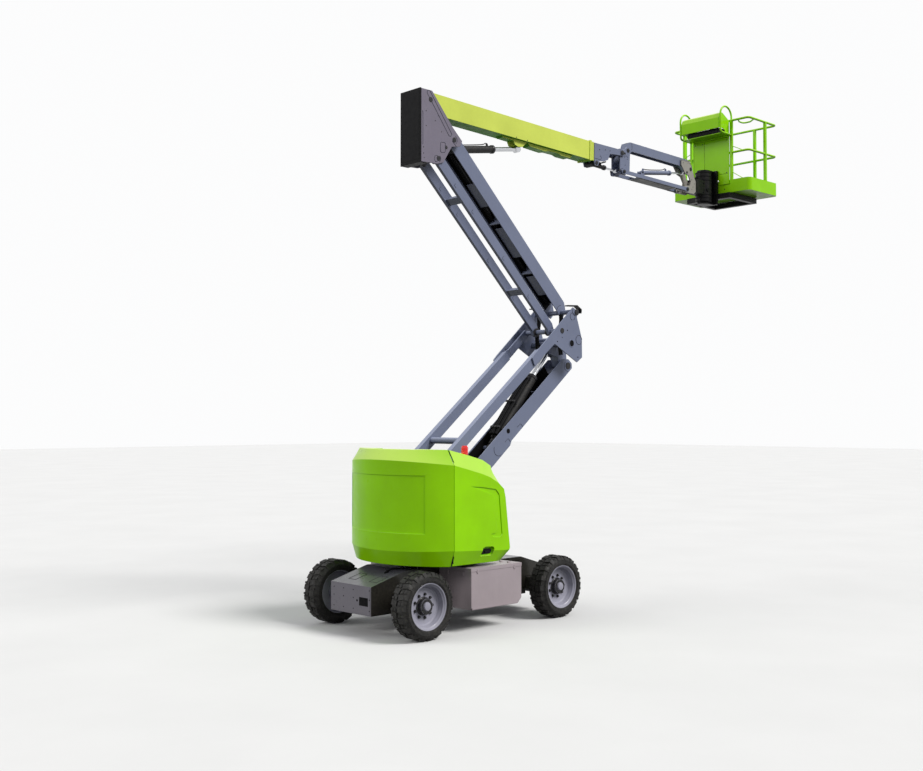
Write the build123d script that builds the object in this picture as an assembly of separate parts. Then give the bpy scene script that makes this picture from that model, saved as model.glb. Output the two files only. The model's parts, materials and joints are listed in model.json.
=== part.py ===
from build123d import *
import math
import os

os.makedirs("parts", exist_ok=True)

# ------------------------------------------------------------------ axes and units
# Millimetres. +X runs from the tail of the turntable towards the basket, +Y is the
# machine's left and +Z is up. The ground is z = 0, below the slewing axis at x = y = 0.

# ------------------------------------------------------------------ driving sizes
CLEAR = 6.0  # gap between pieces that move past each other
PIN_GAP = 0.5  # radial gap round a pivot pin

# wheels and axles
AXLE_X = 1050.0  # each axle from the slewing axis
TRACK_HALF = 755.0  # tyre centre from the centreline
TYRE_R = 360.0
TYRE_W = 240.0
TREAD_DEPTH = 15.0
LUGS = 18  # in each of the two rows
LUG_W = 56.0
LUG_SLANT = -8.0  # degrees
RIM_R = 242.0
RIM_W = 200.0
RIM_WALL = 9.0
DISC_OUT = 10.0  # wheel disc's outer face, outward of the tyre's centre plane
DISC_T = 12.0
HUB_R = 82.0
HUB_LEN = 62.0
SPINDLE_R = 40.0
KINGPIN_Y = 545.0
KINGPIN_R = 24.0
LEVER = 150.0  # steering arm, from the kingpin back
TIE_PIN_R = 10.0

# chassis
FRAME_HALF = 343.0  # half width of the frame and its two noses
FRAME_LOW = 235.0
FRAME_TOP = 680.0
NOSE_X = 1405.0
NOSE_TOP = 545.0
NOSE_RAMP_X = 900.0  # where the nose's slope meets the level top
BOX_X = (-425.0, 365.0)  # battery boxes
BOX_Y = (FRAME_HALF, 850.0)
BOX_Z = (250.0, 700.0)
SLEW_R = 330.0
SLEW_Z = (FRAME_TOP, 742.0)

# turntable and cowls
DECK_Z = (748.0, 765.0)
DECK_R = 985.0
DECK_HALF = 735.0
DECK_FRONT = 60.0
COWL_HALF = 850.0
COWL_SEAM_X = -680.0
COWL_R = 1085.0  # the tail's arc about the slewing axis
COWL_WALL = 14.0
COWL_LEVELS = (
    # inset from the plan outline, height at the seams, height at the tail
    (55.0, 735.0, 735.0),
    (0.0, 908.0, 890.0),
    (0.0, 1819.0, 1872.0),
    (102.0, 1985.0, 1985.0),
)
BAND_Z = (1085.0, 1710.0)  # shallow band round the tail
BAND_HALF = 620.0
BAND_DEPTH = 10.0
DOOR_INNER_Y = 460.0
DOOR_CHAMFER = 102.0
DOOR_HINGE = (500.0, 1890.0)  # y, z of the line that each door swings up about
DOOR_HINGE_X = (-640.0, -460.0)
DOOR_HINGE_R = 12.0
TOWER_Y = 222.0  # outer face of the tower plates
TOWER_T = 20.0
BEACON_AT = (-335.0, -655.0)
BEACON_Z = (1895.0, 2012.0)

# double parallelogram: pins as (x, z)
ARM1_FOOT = (-82.0, 1292.0)
LOWER_ANGLE = 39.1
UPPER_ANGLE = 136.1
ARM_LENGTH = 2709.0
LINK_STEP = (-350.0, 420.0)  # second pin from the first, on turntable and elbow
ARM4_STEP = (-100.0, 675.0)  # arm 4's pin from arm 1's pin, on the elbow
LADDER_STEP = (-250.0, -255.0)  # ladder's pin from arm 4's pin, on elbow and upright
ARM_PIN_R = 30.0

ARM1_HALF = 126.0
LINK_OUT = 313.0
LINK_IN = 245.0
LINK_DEPTH = 120.0
ARM4_HALF = 104.0
LADDER_OUT = 151.0
LADDER_RAIL = 42.0
LADDER_DEPTH = 115.0
ELBOW_OUT = 334.0
ELBOW_T = 14.0
UPRIGHT_OUT = 170.0
UPRIGHT_T = 13.0

# booms, in the boom's own frame: s along it from its pivot, t across it
BOOM_PIVOT_STEP = (-370.0, 400.0)  # from arm 4's upper pin
BOOM_TILT = -1.6
BOOM_HALF = 98.0
BOOM_T = (-130.0, 115.0)
BOOM_S = (-70.0, 2992.0)
BOOM_WALL = 8.0
BOOM_FOOT_CUT = 32.0  # corner taken off above the foot, to turn inside the upright
FLY_GAP = 7.0
FLY_S = (900.0, 3020.0)
HEAD_S = 3003.0  # the fly's head starts here, just outside the boom's mouth
HEAD_PLATE = 16.0
FLY_TIP = (3596.0, 90.0)  # s and t of the pin that carries the jib
LIFT_PIN_R = 28.0
BOOM_CYL_PIN_R = 22.0
JIB_CYL_PIN_R = 12.0
LEVEL_PIN_R = 12.0
LIFT_ROOT_S = 1070.0  # along arm 1
LIFT_EYE_STEP = (-240.0, 200.0)  # from arm 1's top pin, on the elbow
LIFT_EYE_ROOM = ((-257.0, 248.0), 63.0)  # where the rod's eye reaches with the arms down, and its room
BOOM_CYL_ROOT_STEP = (-128.3, -107.9)  # from arm 4's top pin, on the upright
BOOM_CYL_EYE = (1608.8, -230.1)  # s and t on the boom
LEVEL_ROOT_ST = (3052.0, -147.0)  # s and t on the fly

# jib: pins as steps from the pin at the fly's tip
JIB_LOW_STEP = (30.0, -252.0)
JIB_HIGH_STEP = (155.0, 60.0)
LEVEL_EYE_STEP = (-30.0, -240.0)
JIB_LENGTH = 1480.0
JIB_ANGLE = -1.2
JIB_TOP_HALF = 53.0
JIB_TOP_WALL = 10.0
JIB_TOP_T = (14.0, 134.0)  # the top arm's depth above its pins
JIB_RAIL_OUT = 105.0
JIB_RAIL_IN = 91.0
JIB_RAIL_T = (-26.0, 24.0)
JIB_FLOOR_S = (345.0, 1250.0)  # the lower arm's floor plate, along it
JIB_PLATE_OUT = 76.0
JIB_PLATE_T = 16.0
JIB_PIN_R = 20.0
JIB_CYL_ROOT = (504.0, 87.0)  # along the lower arm and above its pins
JIB_EARS = (31.0, 38.0)  # the cylinder's ears, from the middle
JIB_CYL_EYE_STEP = (30.0, 252.0)  # from the lower front pin

# platform, from the lower front pin of the jib
ROTATOR_STEP = 560.0
ROTATOR_R = 118.0
ROTATOR_Z = (-110.0, 335.0)
PLATFORM_STEP = (742.0, 20.0)  # rear edge, and underside of the floor
PLATFORM_LENGTH = 785.0
PLATFORM_HALF = 675.0
PLATFORM_CORNER = 70.0
FLOOR_T = 17.0
KICK_H = 190.0  # heights are above the floor's underside
KICK_T = 10.0
MID_RAIL_H = 597.0
TOP_RAIL_H = 1075.0
RAIL_R = 17.0
POST_HALF = 19.0
SUPPORT_H = (-85.0, -6.0)
SUPPORT_HALF = 375.0
SUPPORT_TUBE = 60.0
CONSOLE_Y = (-360.0, 342.0)
CONSOLE_BACK = 275.0  # the console reaches this far behind the platform
PANEL_H = 855.0
HOOD_H = (925.0, 1075.0, 1160.0)  # lower edge, fold and crest of the hood
HOOP_H = 1272.0
CORNER_LOOP = (
    # along from the rear rail, and across as a part of the half width
    (0, 0.72),
    (140, 0.62),
    (262, 0.61),
    (262, 0.79),
    (150, 1.0),
)
GATE_X = (300.0, 672.0)  # opening in the left end's rails, from the rear edge


# ------------------------------------------------------------------ helpers
def block(x0, x1, y0, y1, z0, z1):
    size = (x1 - x0, y1 - y0, z1 - z0)
    return Pos((x0 + x1) / 2, (y0 + y1) / 2, (z0 + z1) / 2) * Box(*size)


def plate(points, y0, y1, radius=0.0):
    """A flat plate with its outline in XZ, from y0 to y1."""
    corners = [(x, y0, z) for x, z in points]
    outline = FilletPolyline(*corners, radius=radius, close=True)
    return extrude(make_face(outline), amount=y1 - y0, dir=(0, 1, 0))


def slab(points, z0, z1, radius=0.0):
    """A flat plate with its outline in XY, from z0 to z1."""
    corners = [(x, y, z0) for x, y in points]
    outline = FilletPolyline(*corners, radius=radius, close=True)
    return extrude(make_face(outline), amount=z1 - z0, dir=(0, 0, 1))


def pin(at, y0, y1, r):
    """A round bar along Y through the point at = (x, z)."""
    return Pos(at[0], (y0 + y1) / 2, at[1]) * Rot(90, 0, 0) * Cylinder(r, y1 - y0)


def rod(p, q, r):
    """A round bar from p to q."""
    start = Vector(*p)
    way = Vector(*q) - start
    return Plane(origin=start, z_dir=way).location * Cylinder(
        r, way.length, align=(Align.CENTER, Align.CENTER, Align.MIN)
    )


def frame(at, angle):
    """Local frame of an arm: X along it from the pin at, Y across, Z above it."""
    c = math.cos(math.radians(angle))
    s = math.sin(math.radians(angle))
    return Plane(origin=(at[0], 0, at[1]), x_dir=(c, 0, s), z_dir=(-s, 0, c)).location


def step(at, move):
    return (at[0] + move[0], at[1] + move[1])


def along(at, angle, distance):
    c = math.cos(math.radians(angle))
    s = math.sin(math.radians(angle))
    return (at[0] + distance * c, at[1] + distance * s)


def angle_of(p, q):
    return math.degrees(math.atan2(q[1] - p[1], q[0] - p[0]))


def length_of(p, q):
    return math.hypot(q[0] - p[0], q[1] - p[1])


def both(shape):
    """The shape and its mirror image on the other side of the centreline."""
    return shape + mirror(shape, Plane.XZ)


def write(node, shape):
    export_step(shape, "parts/" + node + ".step")


# ------------------------------------------------------------------ pins worked out
LINK_FOOT = step(ARM1_FOOT, LINK_STEP)
ARM1_TOP = along(ARM1_FOOT, LOWER_ANGLE, ARM_LENGTH)
LINK_TOP = step(ARM1_TOP, LINK_STEP)
ARM4_FOOT = step(ARM1_TOP, ARM4_STEP)
LADDER_FOOT = step(ARM4_FOOT, LADDER_STEP)
ARM4_TOP = along(ARM4_FOOT, UPPER_ANGLE, ARM_LENGTH)
LADDER_TOP = step(ARM4_TOP, LADDER_STEP)
BOOM_PIVOT = step(ARM4_TOP, BOOM_PIVOT_STEP)


def on_boom(st):
    """A point given along and across the boom, as (x, z)."""
    foot = along(BOOM_PIVOT, BOOM_TILT, st[0])
    return along(foot, BOOM_TILT + 90, st[1])


FLY_TIP_PIN = on_boom(FLY_TIP)
JIB_LOW_REAR = step(FLY_TIP_PIN, JIB_LOW_STEP)
JIB_HIGH_REAR = step(FLY_TIP_PIN, JIB_HIGH_STEP)
JIB_LOW_FRONT = along(JIB_LOW_REAR, JIB_ANGLE, JIB_LENGTH)
JIB_HIGH_FRONT = along(JIB_HIGH_REAR, JIB_ANGLE, JIB_LENGTH)

LIFT_ROOT = along(ARM1_FOOT, LOWER_ANGLE, LIFT_ROOT_S)
LIFT_EYE = step(ARM1_TOP, LIFT_EYE_STEP)
BOOM_CYL_ROOT = step(ARM4_TOP, BOOM_CYL_ROOT_STEP)
BOOM_CYL_EYE_PIN = on_boom(BOOM_CYL_EYE)
JIB_ROOT = along(along(JIB_LOW_REAR, JIB_ANGLE, JIB_CYL_ROOT[0]), JIB_ANGLE + 90, JIB_CYL_ROOT[1])
JIB_EYE = step(JIB_LOW_FRONT, JIB_CYL_EYE_STEP)
LEVEL_ROOT = on_boom(LEVEL_ROOT_ST)
LEVEL_EYE = step(FLY_TIP_PIN, LEVEL_EYE_STEP)

ROTATOR_X = JIB_LOW_FRONT[0] + ROTATOR_STEP
ROTATOR_LOW = JIB_LOW_FRONT[1] + ROTATOR_Z[0]
ROTATOR_TOP = JIB_LOW_FRONT[1] + ROTATOR_Z[1]
PLATFORM_REAR = JIB_LOW_FRONT[0] + PLATFORM_STEP[0]
PLATFORM_X = (PLATFORM_REAR, PLATFORM_REAR + PLATFORM_LENGTH)
FLOOR_LOW = JIB_LOW_FRONT[1] + PLATFORM_STEP[1]
KICK_TOP = FLOOR_LOW + KICK_H
MID_RAIL_Z = FLOOR_LOW + MID_RAIL_H
TOP_RAIL_Z = FLOOR_LOW + TOP_RAIL_H
GATE_SPAN = (PLATFORM_X[0] + GATE_X[0], PLATFORM_X[0] + GATE_X[1])


# ------------------------------------------------------------------ wheels
def tyre_ring(crown, crown_half):
    """The tyre's section turned about its axle, with a tread of the given radius and half width."""
    half = TYRE_W / 2
    bead = half - 14
    flank = [(RIM_R + 1, bead), (RIM_R + 30, half), (TYRE_R - 60, half), (crown, crown_half)]
    corners = [(r, -y, 0) for r, y in flank] + [(r, y, 0) for r, y in reversed(flank)]
    return revolve(make_face(FilletPolyline(*corners, radius=0, close=True)), Axis.Y)


def tyre_body():
    """A core with two staggered rows of slanted lugs that run over the shoulders."""
    half = TYRE_W / 2
    core = tyre_ring(TYRE_R - TREAD_DEPTH, half - 38)
    top = math.sqrt(TYRE_R**2 - (LUG_W / 2 + 6) ** 2)
    profile = [(0, 6, top - 40), (0, 6, top), (0, half - 34, top), (0, half, top - 60), (0, half - 30, top - 90)]
    face = make_face(FilletPolyline(*profile, radius=0, close=True))
    lug = Rot(0, 0, LUG_SLANT) * extrude(face, amount=LUG_W / 2, both=True)
    lugs = []
    for n in range(LUGS):
        turn = 360 / LUGS * n
        lugs.append(Rot(0, turn, 0) * lug)
        lugs.append(Rot(0, turn + 180 / LUGS, 0) * mirror(lug, Plane.XZ))
    return core.fuse(*lugs)


def tyre(body, x, side):
    """side is -1 on the right and +1 on the left; the axle runs along Y."""
    return Pos(x, side * TRACK_HALF, TYRE_R) * body


def rim(x, side, steered):
    half = RIM_W / 2
    barrel = FilletPolyline(
        (RIM_R - RIM_WALL, -half, 0),
        (RIM_R, -half, 0),
        (RIM_R, half, 0),
        (RIM_R - RIM_WALL, half, 0),
        radius=0,
        close=True,
    )
    ring = revolve(make_face(barrel), Axis.Y)
    inner = DISC_OUT - DISC_T
    disc = pin((0, 0), inner, DISC_OUT, RIM_R - RIM_WALL + 1)
    hub = pin((0, 0), inner - 30, DISC_OUT + HUB_LEN, HUB_R)
    shape = ring + disc + hub
    shape -= pin((0, 0), inner - 31, DISC_OUT + HUB_LEN - 25, SPINDLE_R + PIN_GAP)
    if side < 0:
        shape = mirror(shape, Plane.XZ)
    return Pos(x, side * TRACK_HALF, TYRE_R) * shape


# ------------------------------------------------------------------ chassis
def knuckle(side):
    """Steering knuckle: kingpin barrel, spindle and steering arm."""
    y_in = KINGPIN_Y
    y_out = TRACK_HALF + DISC_OUT + HUB_LEN - 30
    barrel = Pos(-AXLE_X, y_in, TYRE_R) * Cylinder(46, 150)
    spindle = pin((-AXLE_X, TYRE_R), y_in, y_out, SPINDLE_R)
    flange = pin((-AXLE_X, TYRE_R), y_in + 30, y_in + 52, 75)
    lever = block(-AXLE_X, -AXLE_X + LEVER, y_in - 22, y_in + 22, TYRE_R - 66, TYRE_R - 40)
    lever += Pos(-AXLE_X + LEVER, y_in, TYRE_R - 53) * Cylinder(26, 26)
    shape = barrel + spindle + flange + lever
    shape -= Pos(-AXLE_X, y_in, TYRE_R) * Cylinder(KINGPIN_R + PIN_GAP, 152)
    shape -= Pos(-AXLE_X + LEVER, y_in, TYRE_R - 53) * Cylinder(TIE_PIN_R + PIN_GAP, 40)
    return shape if side > 0 else mirror(shape, Plane.XZ)


def tie_rod():
    """Joins the two steering arms and stays parallel to the axle."""
    x = -AXLE_X + LEVER
    z = TYRE_R - 88
    shape = rod((x, -KINGPIN_Y, z), (x, KINGPIN_Y, z), 14)
    for y in (-KINGPIN_Y, KINGPIN_Y):
        shape += Pos(x, y, z) * Cylinder(24, 34)
        shape += Pos(x, y, (z + TYRE_R - 40) / 2) * Cylinder(TIE_PIN_R, TYRE_R - 40 - z)
    return shape


def steer_axle():
    beam = block(-AXLE_X - 60, -AXLE_X + 60, -KINGPIN_Y + 115, KINGPIN_Y - 115, 300, 420)
    for z0, z1 in ((TYRE_R - 105, TYRE_R - 81), (TYRE_R + 81, TYRE_R + 105)):
        beam += both(block(-AXLE_X - 45, -AXLE_X + 45, KINGPIN_Y - 120, KINGPIN_Y, z0, z1))
        beam += both(Pos(-AXLE_X, KINGPIN_Y, (z0 + z1) / 2) * Cylinder(45, z1 - z0))
    beam += both(block(-AXLE_X - 45, -AXLE_X + 45, KINGPIN_Y - 120, KINGPIN_Y - 80,
                       TYRE_R - 105, TYRE_R + 105))
    beam += both(Pos(-AXLE_X, KINGPIN_Y, TYRE_R) * Cylinder(KINGPIN_R, 210))
    return beam


def drive_axle():
    beam = block(AXLE_X - 65, AXLE_X + 65, -520, 520, 290, 430)
    y_out = TRACK_HALF + DISC_OUT + HUB_LEN - 30
    beam += both(pin((AXLE_X, TYRE_R), 519, 600, 105))
    beam += both(pin((AXLE_X, TYRE_R), 599, y_out, SPINDLE_R))
    return beam


def chassis_frame():
    side_view = [
        (-NOSE_X, FRAME_LOW),
        (NOSE_X - 60, FRAME_LOW),
        (NOSE_X - 60, NOSE_TOP),
        (NOSE_RAMP_X, FRAME_TOP),
        (-NOSE_RAMP_X, FRAME_TOP),
        (-NOSE_X, NOSE_TOP),
    ]
    body = plate(side_view, -FRAME_HALF, FRAME_HALF)
    for x, front, rear in ((-AXLE_X, 72, LEVER + 45), (AXLE_X, 72, 72)):
        body -= block(x - front, x + rear, -FRAME_HALF - 1, FRAME_HALF + 1, FRAME_LOW - 1, 436)
    return body


def battery_boxes():
    x0, x1 = BOX_X
    outline = [(x0, BOX_Z[0]), (x1 - 60, BOX_Z[0]), (x1, BOX_Z[0] + 60), (x1, BOX_Z[1]), (x0, BOX_Z[1])]
    return both(plate(outline, BOX_Y[0], BOX_Y[1]))


def slew_ring():
    return Pos(0, 0, (SLEW_Z[0] + SLEW_Z[1]) / 2) * Cylinder(SLEW_R, SLEW_Z[1] - SLEW_Z[0])


# ------------------------------------------------------------------ turntable
def turntable():
    """Deck with a round tail, tower plates for the arms, and a wall inside each door."""
    z0, z1 = DECK_Z
    deck = Pos(0, 0, (z0 + z1) / 2) * Cylinder(DECK_R, z1 - z0)
    deck &= block(-DECK_R, DECK_FRONT, -DECK_HALF, DECK_HALF, z0, z1)
    deck += Pos(0, 0, (z0 + z1) / 2) * Cylinder(SLEW_R + 40, z1 - z0)
    tower_view = [
        (LINK_FOOT[0] - 170, z1),
        (ARM1_FOOT[0] + 260, z1),
        (ARM1_FOOT[0] + 95, ARM1_FOOT[1] + 60),
        (ARM1_FOOT[0] - 20, ARM1_FOOT[1] + 100),
        (LINK_FOOT[0] + 65, LINK_FOOT[1] + 60),
        (LINK_FOOT[0] - 65, LINK_FOOT[1] + 60),
        (LINK_FOOT[0] - 80, LINK_FOOT[1] - 60),
    ]
    deck += both(plate(tower_view, TOWER_Y - TOWER_T, TOWER_Y, radius=20))
    deck += pin(ARM1_FOOT, -TOWER_Y, TOWER_Y, ARM_PIN_R)
    deck += pin(LINK_FOOT, -LINK_OUT - 15, LINK_OUT + 15, ARM_PIN_R)
    back = COWL_SEAM_X + 30
    wall = [(back, z1 - 1), (-10, z1 - 1), (-10, 1450), (-330, 1700), (back, 1800)]
    deck += both(plate(wall, DOOR_INNER_Y - 30, DOOR_INNER_Y - 18))
    y, z = DOOR_HINGE
    x0, x1 = DOOR_HINGE_X
    for x in (x0 - 16, x1 + 4):
        wall_y = DOOR_INNER_Y - 30
        arm = [(y - 14, z - 130), (wall_y, 1740), (wall_y, 1640)]
        arm += [(y + 14, z - 130), (y + 14, z + 6), (y - 14, z + 6)]
        arm = [(x, a, b) for a, b in arm]
        lug = extrude(make_face(FilletPolyline(*arm, radius=0, close=True)), amount=12, dir=(1, 0, 0))
        deck += both(lug)
    hinge_bar = rod((x0 - 16, y, z), (x1 + 16, y, z), DOOR_HINGE_R - PIN_GAP)
    return deck + both(hinge_bar)


def cowl_section(inset, seam_z, tail_z, seam_x=COWL_SEAM_X):
    """The tail's plan outline: an arc through both seams and the tail, closed across the seams."""
    half = COWL_HALF - inset
    right = (seam_x, -half, seam_z)
    left = (seam_x, half, seam_z)
    arc = ThreePointArc(right, (-COWL_R + inset, 0, tail_z), left)
    return make_face([arc, Line(left, right)])


def tail_cowl():
    outer = loft([cowl_section(*level) for level in COWL_LEVELS], ruled=True)
    wall = COWL_WALL
    hollow = []
    for (inset, seam_z, tail_z), (draw, lift) in zip(COWL_LEVELS, ((1, -1), (1, 0), (1, -0.4), (0.4, -1))):
        move = lift * wall
        hollow.append(cowl_section(inset + draw * wall, seam_z + move, tail_z + move, COWL_SEAM_X + 1))
    shell = outer - loft(hollow, ruled=True)
    shell -= block(-820, COWL_SEAM_X + 2, -335, 335, 1640, 2100)
    low, high = BAND_Z
    side_x = -math.sqrt(COWL_R**2 - BAND_HALF**2) + 4
    ends = ((side_x, -BAND_HALF, low), (side_x, BAND_HALF, low))
    dish = ThreePointArc(ends[0], (-COWL_R + BAND_DEPTH, 0, low), ends[1])
    rim = Polyline(ends[1], (-COWL_R - 90, BAND_HALF, low), (-COWL_R - 90, -BAND_HALF, low), ends[0])
    return shell - extrude(make_face([dish, *rim.edges()]), amount=high - low, dir=(0, 0, 1))


def counterweight():
    ends = ((-700.0, -560.0, 925.0), (-700.0, 560.0, 925.0))
    arc = ThreePointArc(ends[0], (-COWL_R + 60, 0, 925), ends[1])
    return extrude(make_face([arc, Line(ends[1], ends[0])]), amount=635, dir=(0, 0, 1))


DOOR_OUTLINE = [
    # in the outer skin's plane; the same corners lead in the inner list
    (COWL_SEAM_X + 6, 905),
    (60, 862),
    (172, 860),
    (182, 885),
    (113, 1440),
    (88, 1540),
    (0, 1610),
    (-126, 1675),
    (-248, 1715),
    (-470, 1771),
    (COWL_SEAM_X + 6, 1819),
]
DOOR_INNER_OUTLINE = [
    (COWL_SEAM_X + 6, 590),
    (-80, 600),
    (60, 690),
    (120, 880),
    (90, 1440),
    (66, 1600),
    (-4, 1740),
    (-25, 1798),
    (-148, 1863),
    (-389, 1924),
    (COWL_SEAM_X + 6, 1985),
]


def door_section(points, y, shrink):
    corners = [(x, y, z) for x, z in points]
    face = make_face(FilletPolyline(*corners, radius=0, close=True))
    return offset(face, amount=-shrink, kind=Kind.INTERSECTION) if shrink else face


GROOVE = [
    # x and z of the dark styling groove
    (-422, 1586),
    (-237, 1570),
    (-40, 1540),
    (15, 1480),
    (60, 1045),
    (30, 1008),
    (-90, 1018),
    (-113, 1050),
    (-50, 1060),
    (-22, 1090),
    (-49, 1431),
    (-94, 1483),
    (-361, 1566),
]
HANDLE = [(-270, 818), (-240, 905), (-205, 920), (-85, 914), (-66, 890), (-92, 818)]


def side_door(side):
    """Moulded cover over one side, open inwards and below, hung from a bar near the middle."""
    chamfer_y = COWL_HALF - DOOR_CHAMFER
    shells = []
    for shrink in (0, COWL_WALL):
        outer = door_section(DOOR_OUTLINE, COWL_HALF - shrink, shrink)
        inner = door_section(DOOR_INNER_OUTLINE, chamfer_y, shrink)
        pod = loft([outer, inner], ruled=True)
        pod += extrude(inner, amount=chamfer_y - DOOR_INNER_Y + shrink, dir=(0, -1, 0))
        shells.append(pod)
    shape = shells[0] - shells[1]
    shape -= block(COWL_SEAM_X, COWL_SEAM_X + 22, 0, COWL_HALF - 20, 500, 2100)
    low = COWL_LEVELS[0][1]
    shape -= block(COWL_SEAM_X, 400, 0, COWL_HALF + 1, 400, low + 5)
    shape -= plate(GROOVE, COWL_HALF - 9, COWL_HALF + 10)
    outline = FilletPolyline(*[(x, COWL_HALF - 52, z) for x, z in HANDLE], radius=12, close=True)
    pocket = extrude(offset(make_face(outline), amount=10), amount=50, dir=(0, 1, 0))
    shape += pocket & shells[0]
    shape -= plate(HANDLE, COWL_HALF - 40, COWL_HALF + 10, radius=12)
    y, z = DOOR_HINGE
    x0, x1 = DOOR_HINGE_X
    x0 += 6
    x1 -= 6
    barrel = rod((x0, y, z), (x1, y, z), DOOR_HINGE_R + 8)
    leaf = [(x0, y - 8, z), (x0, y + 8, z), (x0, y + 30, z + 62), (x0, y - 30, z + 62)]
    leaf = extrude(make_face(FilletPolyline(*leaf, radius=0, close=True)), amount=x1 - x0, dir=(1, 0, 0))
    shape += (barrel + leaf) & (shells[0] + barrel)
    shape -= rod((x0 - 1, y, z), (x1 + 1, y, z), DOOR_HINGE_R)
    return shape if side > 0 else mirror(shape, Plane.XZ)


def beacon():
    low, high = BEACON_Z
    shape = Pos(*BEACON_AT, (low + high) / 2) * Cylinder(38, high - low)
    shape += Pos(*BEACON_AT, high + 6) * Cylinder(30, 12)
    under = [DOOR_INNER_OUTLINE[-3], DOOR_INNER_OUTLINE[-2], (-389, 1700), (-148, 1700)]
    return shape - plate(under, -COWL_HALF, 0)


# ------------------------------------------------------------------ lower arms
def lower_arm():
    """Arm 1: a channel open on top, in its own frame from its foot pin."""
    length = ARM_LENGTH
    side_view = [
        (-75, -75),
        (40, -102),
        (1240, -102),
        (1300, -72),
        (length + 40, -72),
        (length + 78, -20),
        (length + 60, 60),
        (length - 30, 128),
        (-20, 128),
        (-75, 70),
    ]
    cheek = plate(side_view, ARM1_HALF - 10, ARM1_HALF, radius=20)
    arm = both(cheek)
    arm += block(90, length - 90, -ARM1_HALF + 9, ARM1_HALF - 9, -72, -62)
    arm += pin((LIFT_ROOT_S, 0), -ARM1_HALF + 9, ARM1_HALF - 9, LIFT_PIN_R)
    for at in ((0, 0), (length, 0)):
        arm -= pin(at, -ARM1_HALF - 1, ARM1_HALF + 1, ARM_PIN_R + PIN_GAP)
    return frame(ARM1_FOOT, LOWER_ANGLE) * arm


def lower_link():
    """Link 2: two box tubes joined by cross tubes."""
    length = ARM_LENGTH
    half = LINK_DEPTH / 2
    tube = block(-20, length - 480, LINK_IN, LINK_OUT, -half, half)
    end_view = [(-70, -40), (0, -half), (length - 400, -half), (length, -48), (length + 48, 0)]
    end_view += [(length, 48), (length - 400, half - 22), (length - 480, half), (0, half), (-70, 40)]
    tube += plate(end_view, LINK_IN + 20, LINK_OUT - 20)
    shape = both(tube)
    shape += pin((560, 0), -LINK_IN - 1, LINK_IN + 1, 38)
    for at in ((0, 0), (length, 0)):
        shape -= pin(at, -LINK_OUT - 1, LINK_OUT + 1, ARM_PIN_R + PIN_GAP)
    return frame(LINK_FOOT, LOWER_ANGLE) * shape


ELBOW_OUTLINE = [
    # steps from arm 1's top pin
    (-140, 725),
    (-60, 690),
    (-65, 600),
    (10, 390),
    (30, 310),
    (32, 100),
    (-65, 35),
    (-490, 250),
    (-855, -35),
    (-900, 60),
    (-840, 120),
]
ELBOW_TUBES = (
    # step from arm 1's top pin, radius of the cross tube
    ((-35, 320), 50),
    ((-170, 270), 40),
)
ELBOW_LUG = [(-35, 360), (-220, 330), (-85, -10), (-20, -60), (55, -10), (20, 300)]
LIFT_LUG = [(-40, 340), (-270, 262), (-305, 200), (-270, 140), (-60, 90)]
GUARD = [(-230, 735), (-60, 742), (15, 700), (10, 660), (26, 660), (32, 712), (-55, 760), (-230, 750)]


def steps(at, moves):
    return [step(at, move) for move in moves]


def elbow():
    shape = both(plate(steps(ARM1_TOP, ELBOW_OUTLINE), ELBOW_OUT - ELBOW_T, ELBOW_OUT))
    inside = ELBOW_OUT - ELBOW_T + 1
    for at in (ARM4_FOOT, LADDER_FOOT):
        shape += pin(at, -inside, inside, ARM_PIN_R)
    for move, r in ELBOW_TUBES:
        shape += pin(step(ARM1_TOP, move), -inside, inside, r)
    shape += plate(steps(ARM1_TOP, ELBOW_LUG), -64, 64, radius=15)
    reach, room = LIFT_EYE_ROOM
    shape -= pin(step(ARM1_TOP, reach), -40, 40, room)
    shape += both(plate(steps(ARM1_TOP, LIFT_LUG), 44, 62, radius=15))
    shape += pin(ARM1_TOP, -ARM1_HALF, ARM1_HALF, ARM_PIN_R)
    return shape


def elbow_guard():
    return both(plate(steps(ARM1_TOP, GUARD), ELBOW_OUT - 60, ELBOW_OUT))


# ------------------------------------------------------------------ upper arms
def upper_arm():
    """Arm 4: a channel open below; the frame's Z points down and back."""
    length = ARM_LENGTH
    side_view = [(-60, -60), (0, -100), (60, -135), (length - 60, -135), (length + 40, -90)]
    side_view += [(length + 60, 0), (length, 52), (60, 45), (0, 58), (-60, 30)]
    arm = both(plate(side_view, ARM4_HALF - 10, ARM4_HALF))
    arm += block(80, length - 80, -ARM4_HALF + 9, ARM4_HALF - 9, -135, -125)
    arm -= block(length - 1100, length, -60, 60, -140, -120)
    for s in (700, 1500):
        arm += block(s, s + 12, -ARM4_HALF + 9, ARM4_HALF - 9, -126, 40)
    for at in ((0, 0), (length, 0)):
        arm -= pin(at, -ARM4_HALF - 1, ARM4_HALF + 1, ARM_PIN_R + PIN_GAP)
    return frame(ARM4_FOOT, UPPER_ANGLE) * arm


def upper_ladder():
    """Link 3: two rails with cross plates."""
    length = ARM_LENGTH
    inner = LADDER_OUT - LADDER_RAIL
    side_view = [(-55, -30), (0, -60), (60, -87), (length - 60, -87), (length, -60)]
    side_view += [(length + 50, 0), (length, 40), (60, 28), (0, 50), (-50, 30)]
    shape = both(plate(side_view, inner, LADDER_OUT))
    for s in (640, 2080):
        shape += block(s, s + 90, -inner - 1, inner + 1, -20, 20)
    for at in ((0, 0), (length, 0)):
        shape -= pin(at, -LADDER_OUT - 1, LADDER_OUT + 1, ARM_PIN_R + PIN_GAP)
    return frame(LADDER_FOOT, UPPER_ANGLE) * shape


UPRIGHT_OUTLINE = [
    # steps from arm 4's top pin
    (-513, 506),
    (-348, 506),
    (-28, 146),
    (127, 6),
    (92, -64),
    (-38, -84),
    (-173, -289),
    (-268, -319),
    (-513, -329),
]
UPRIGHT_BACK_T = 10.0
COVER_T = 16.0


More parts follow.
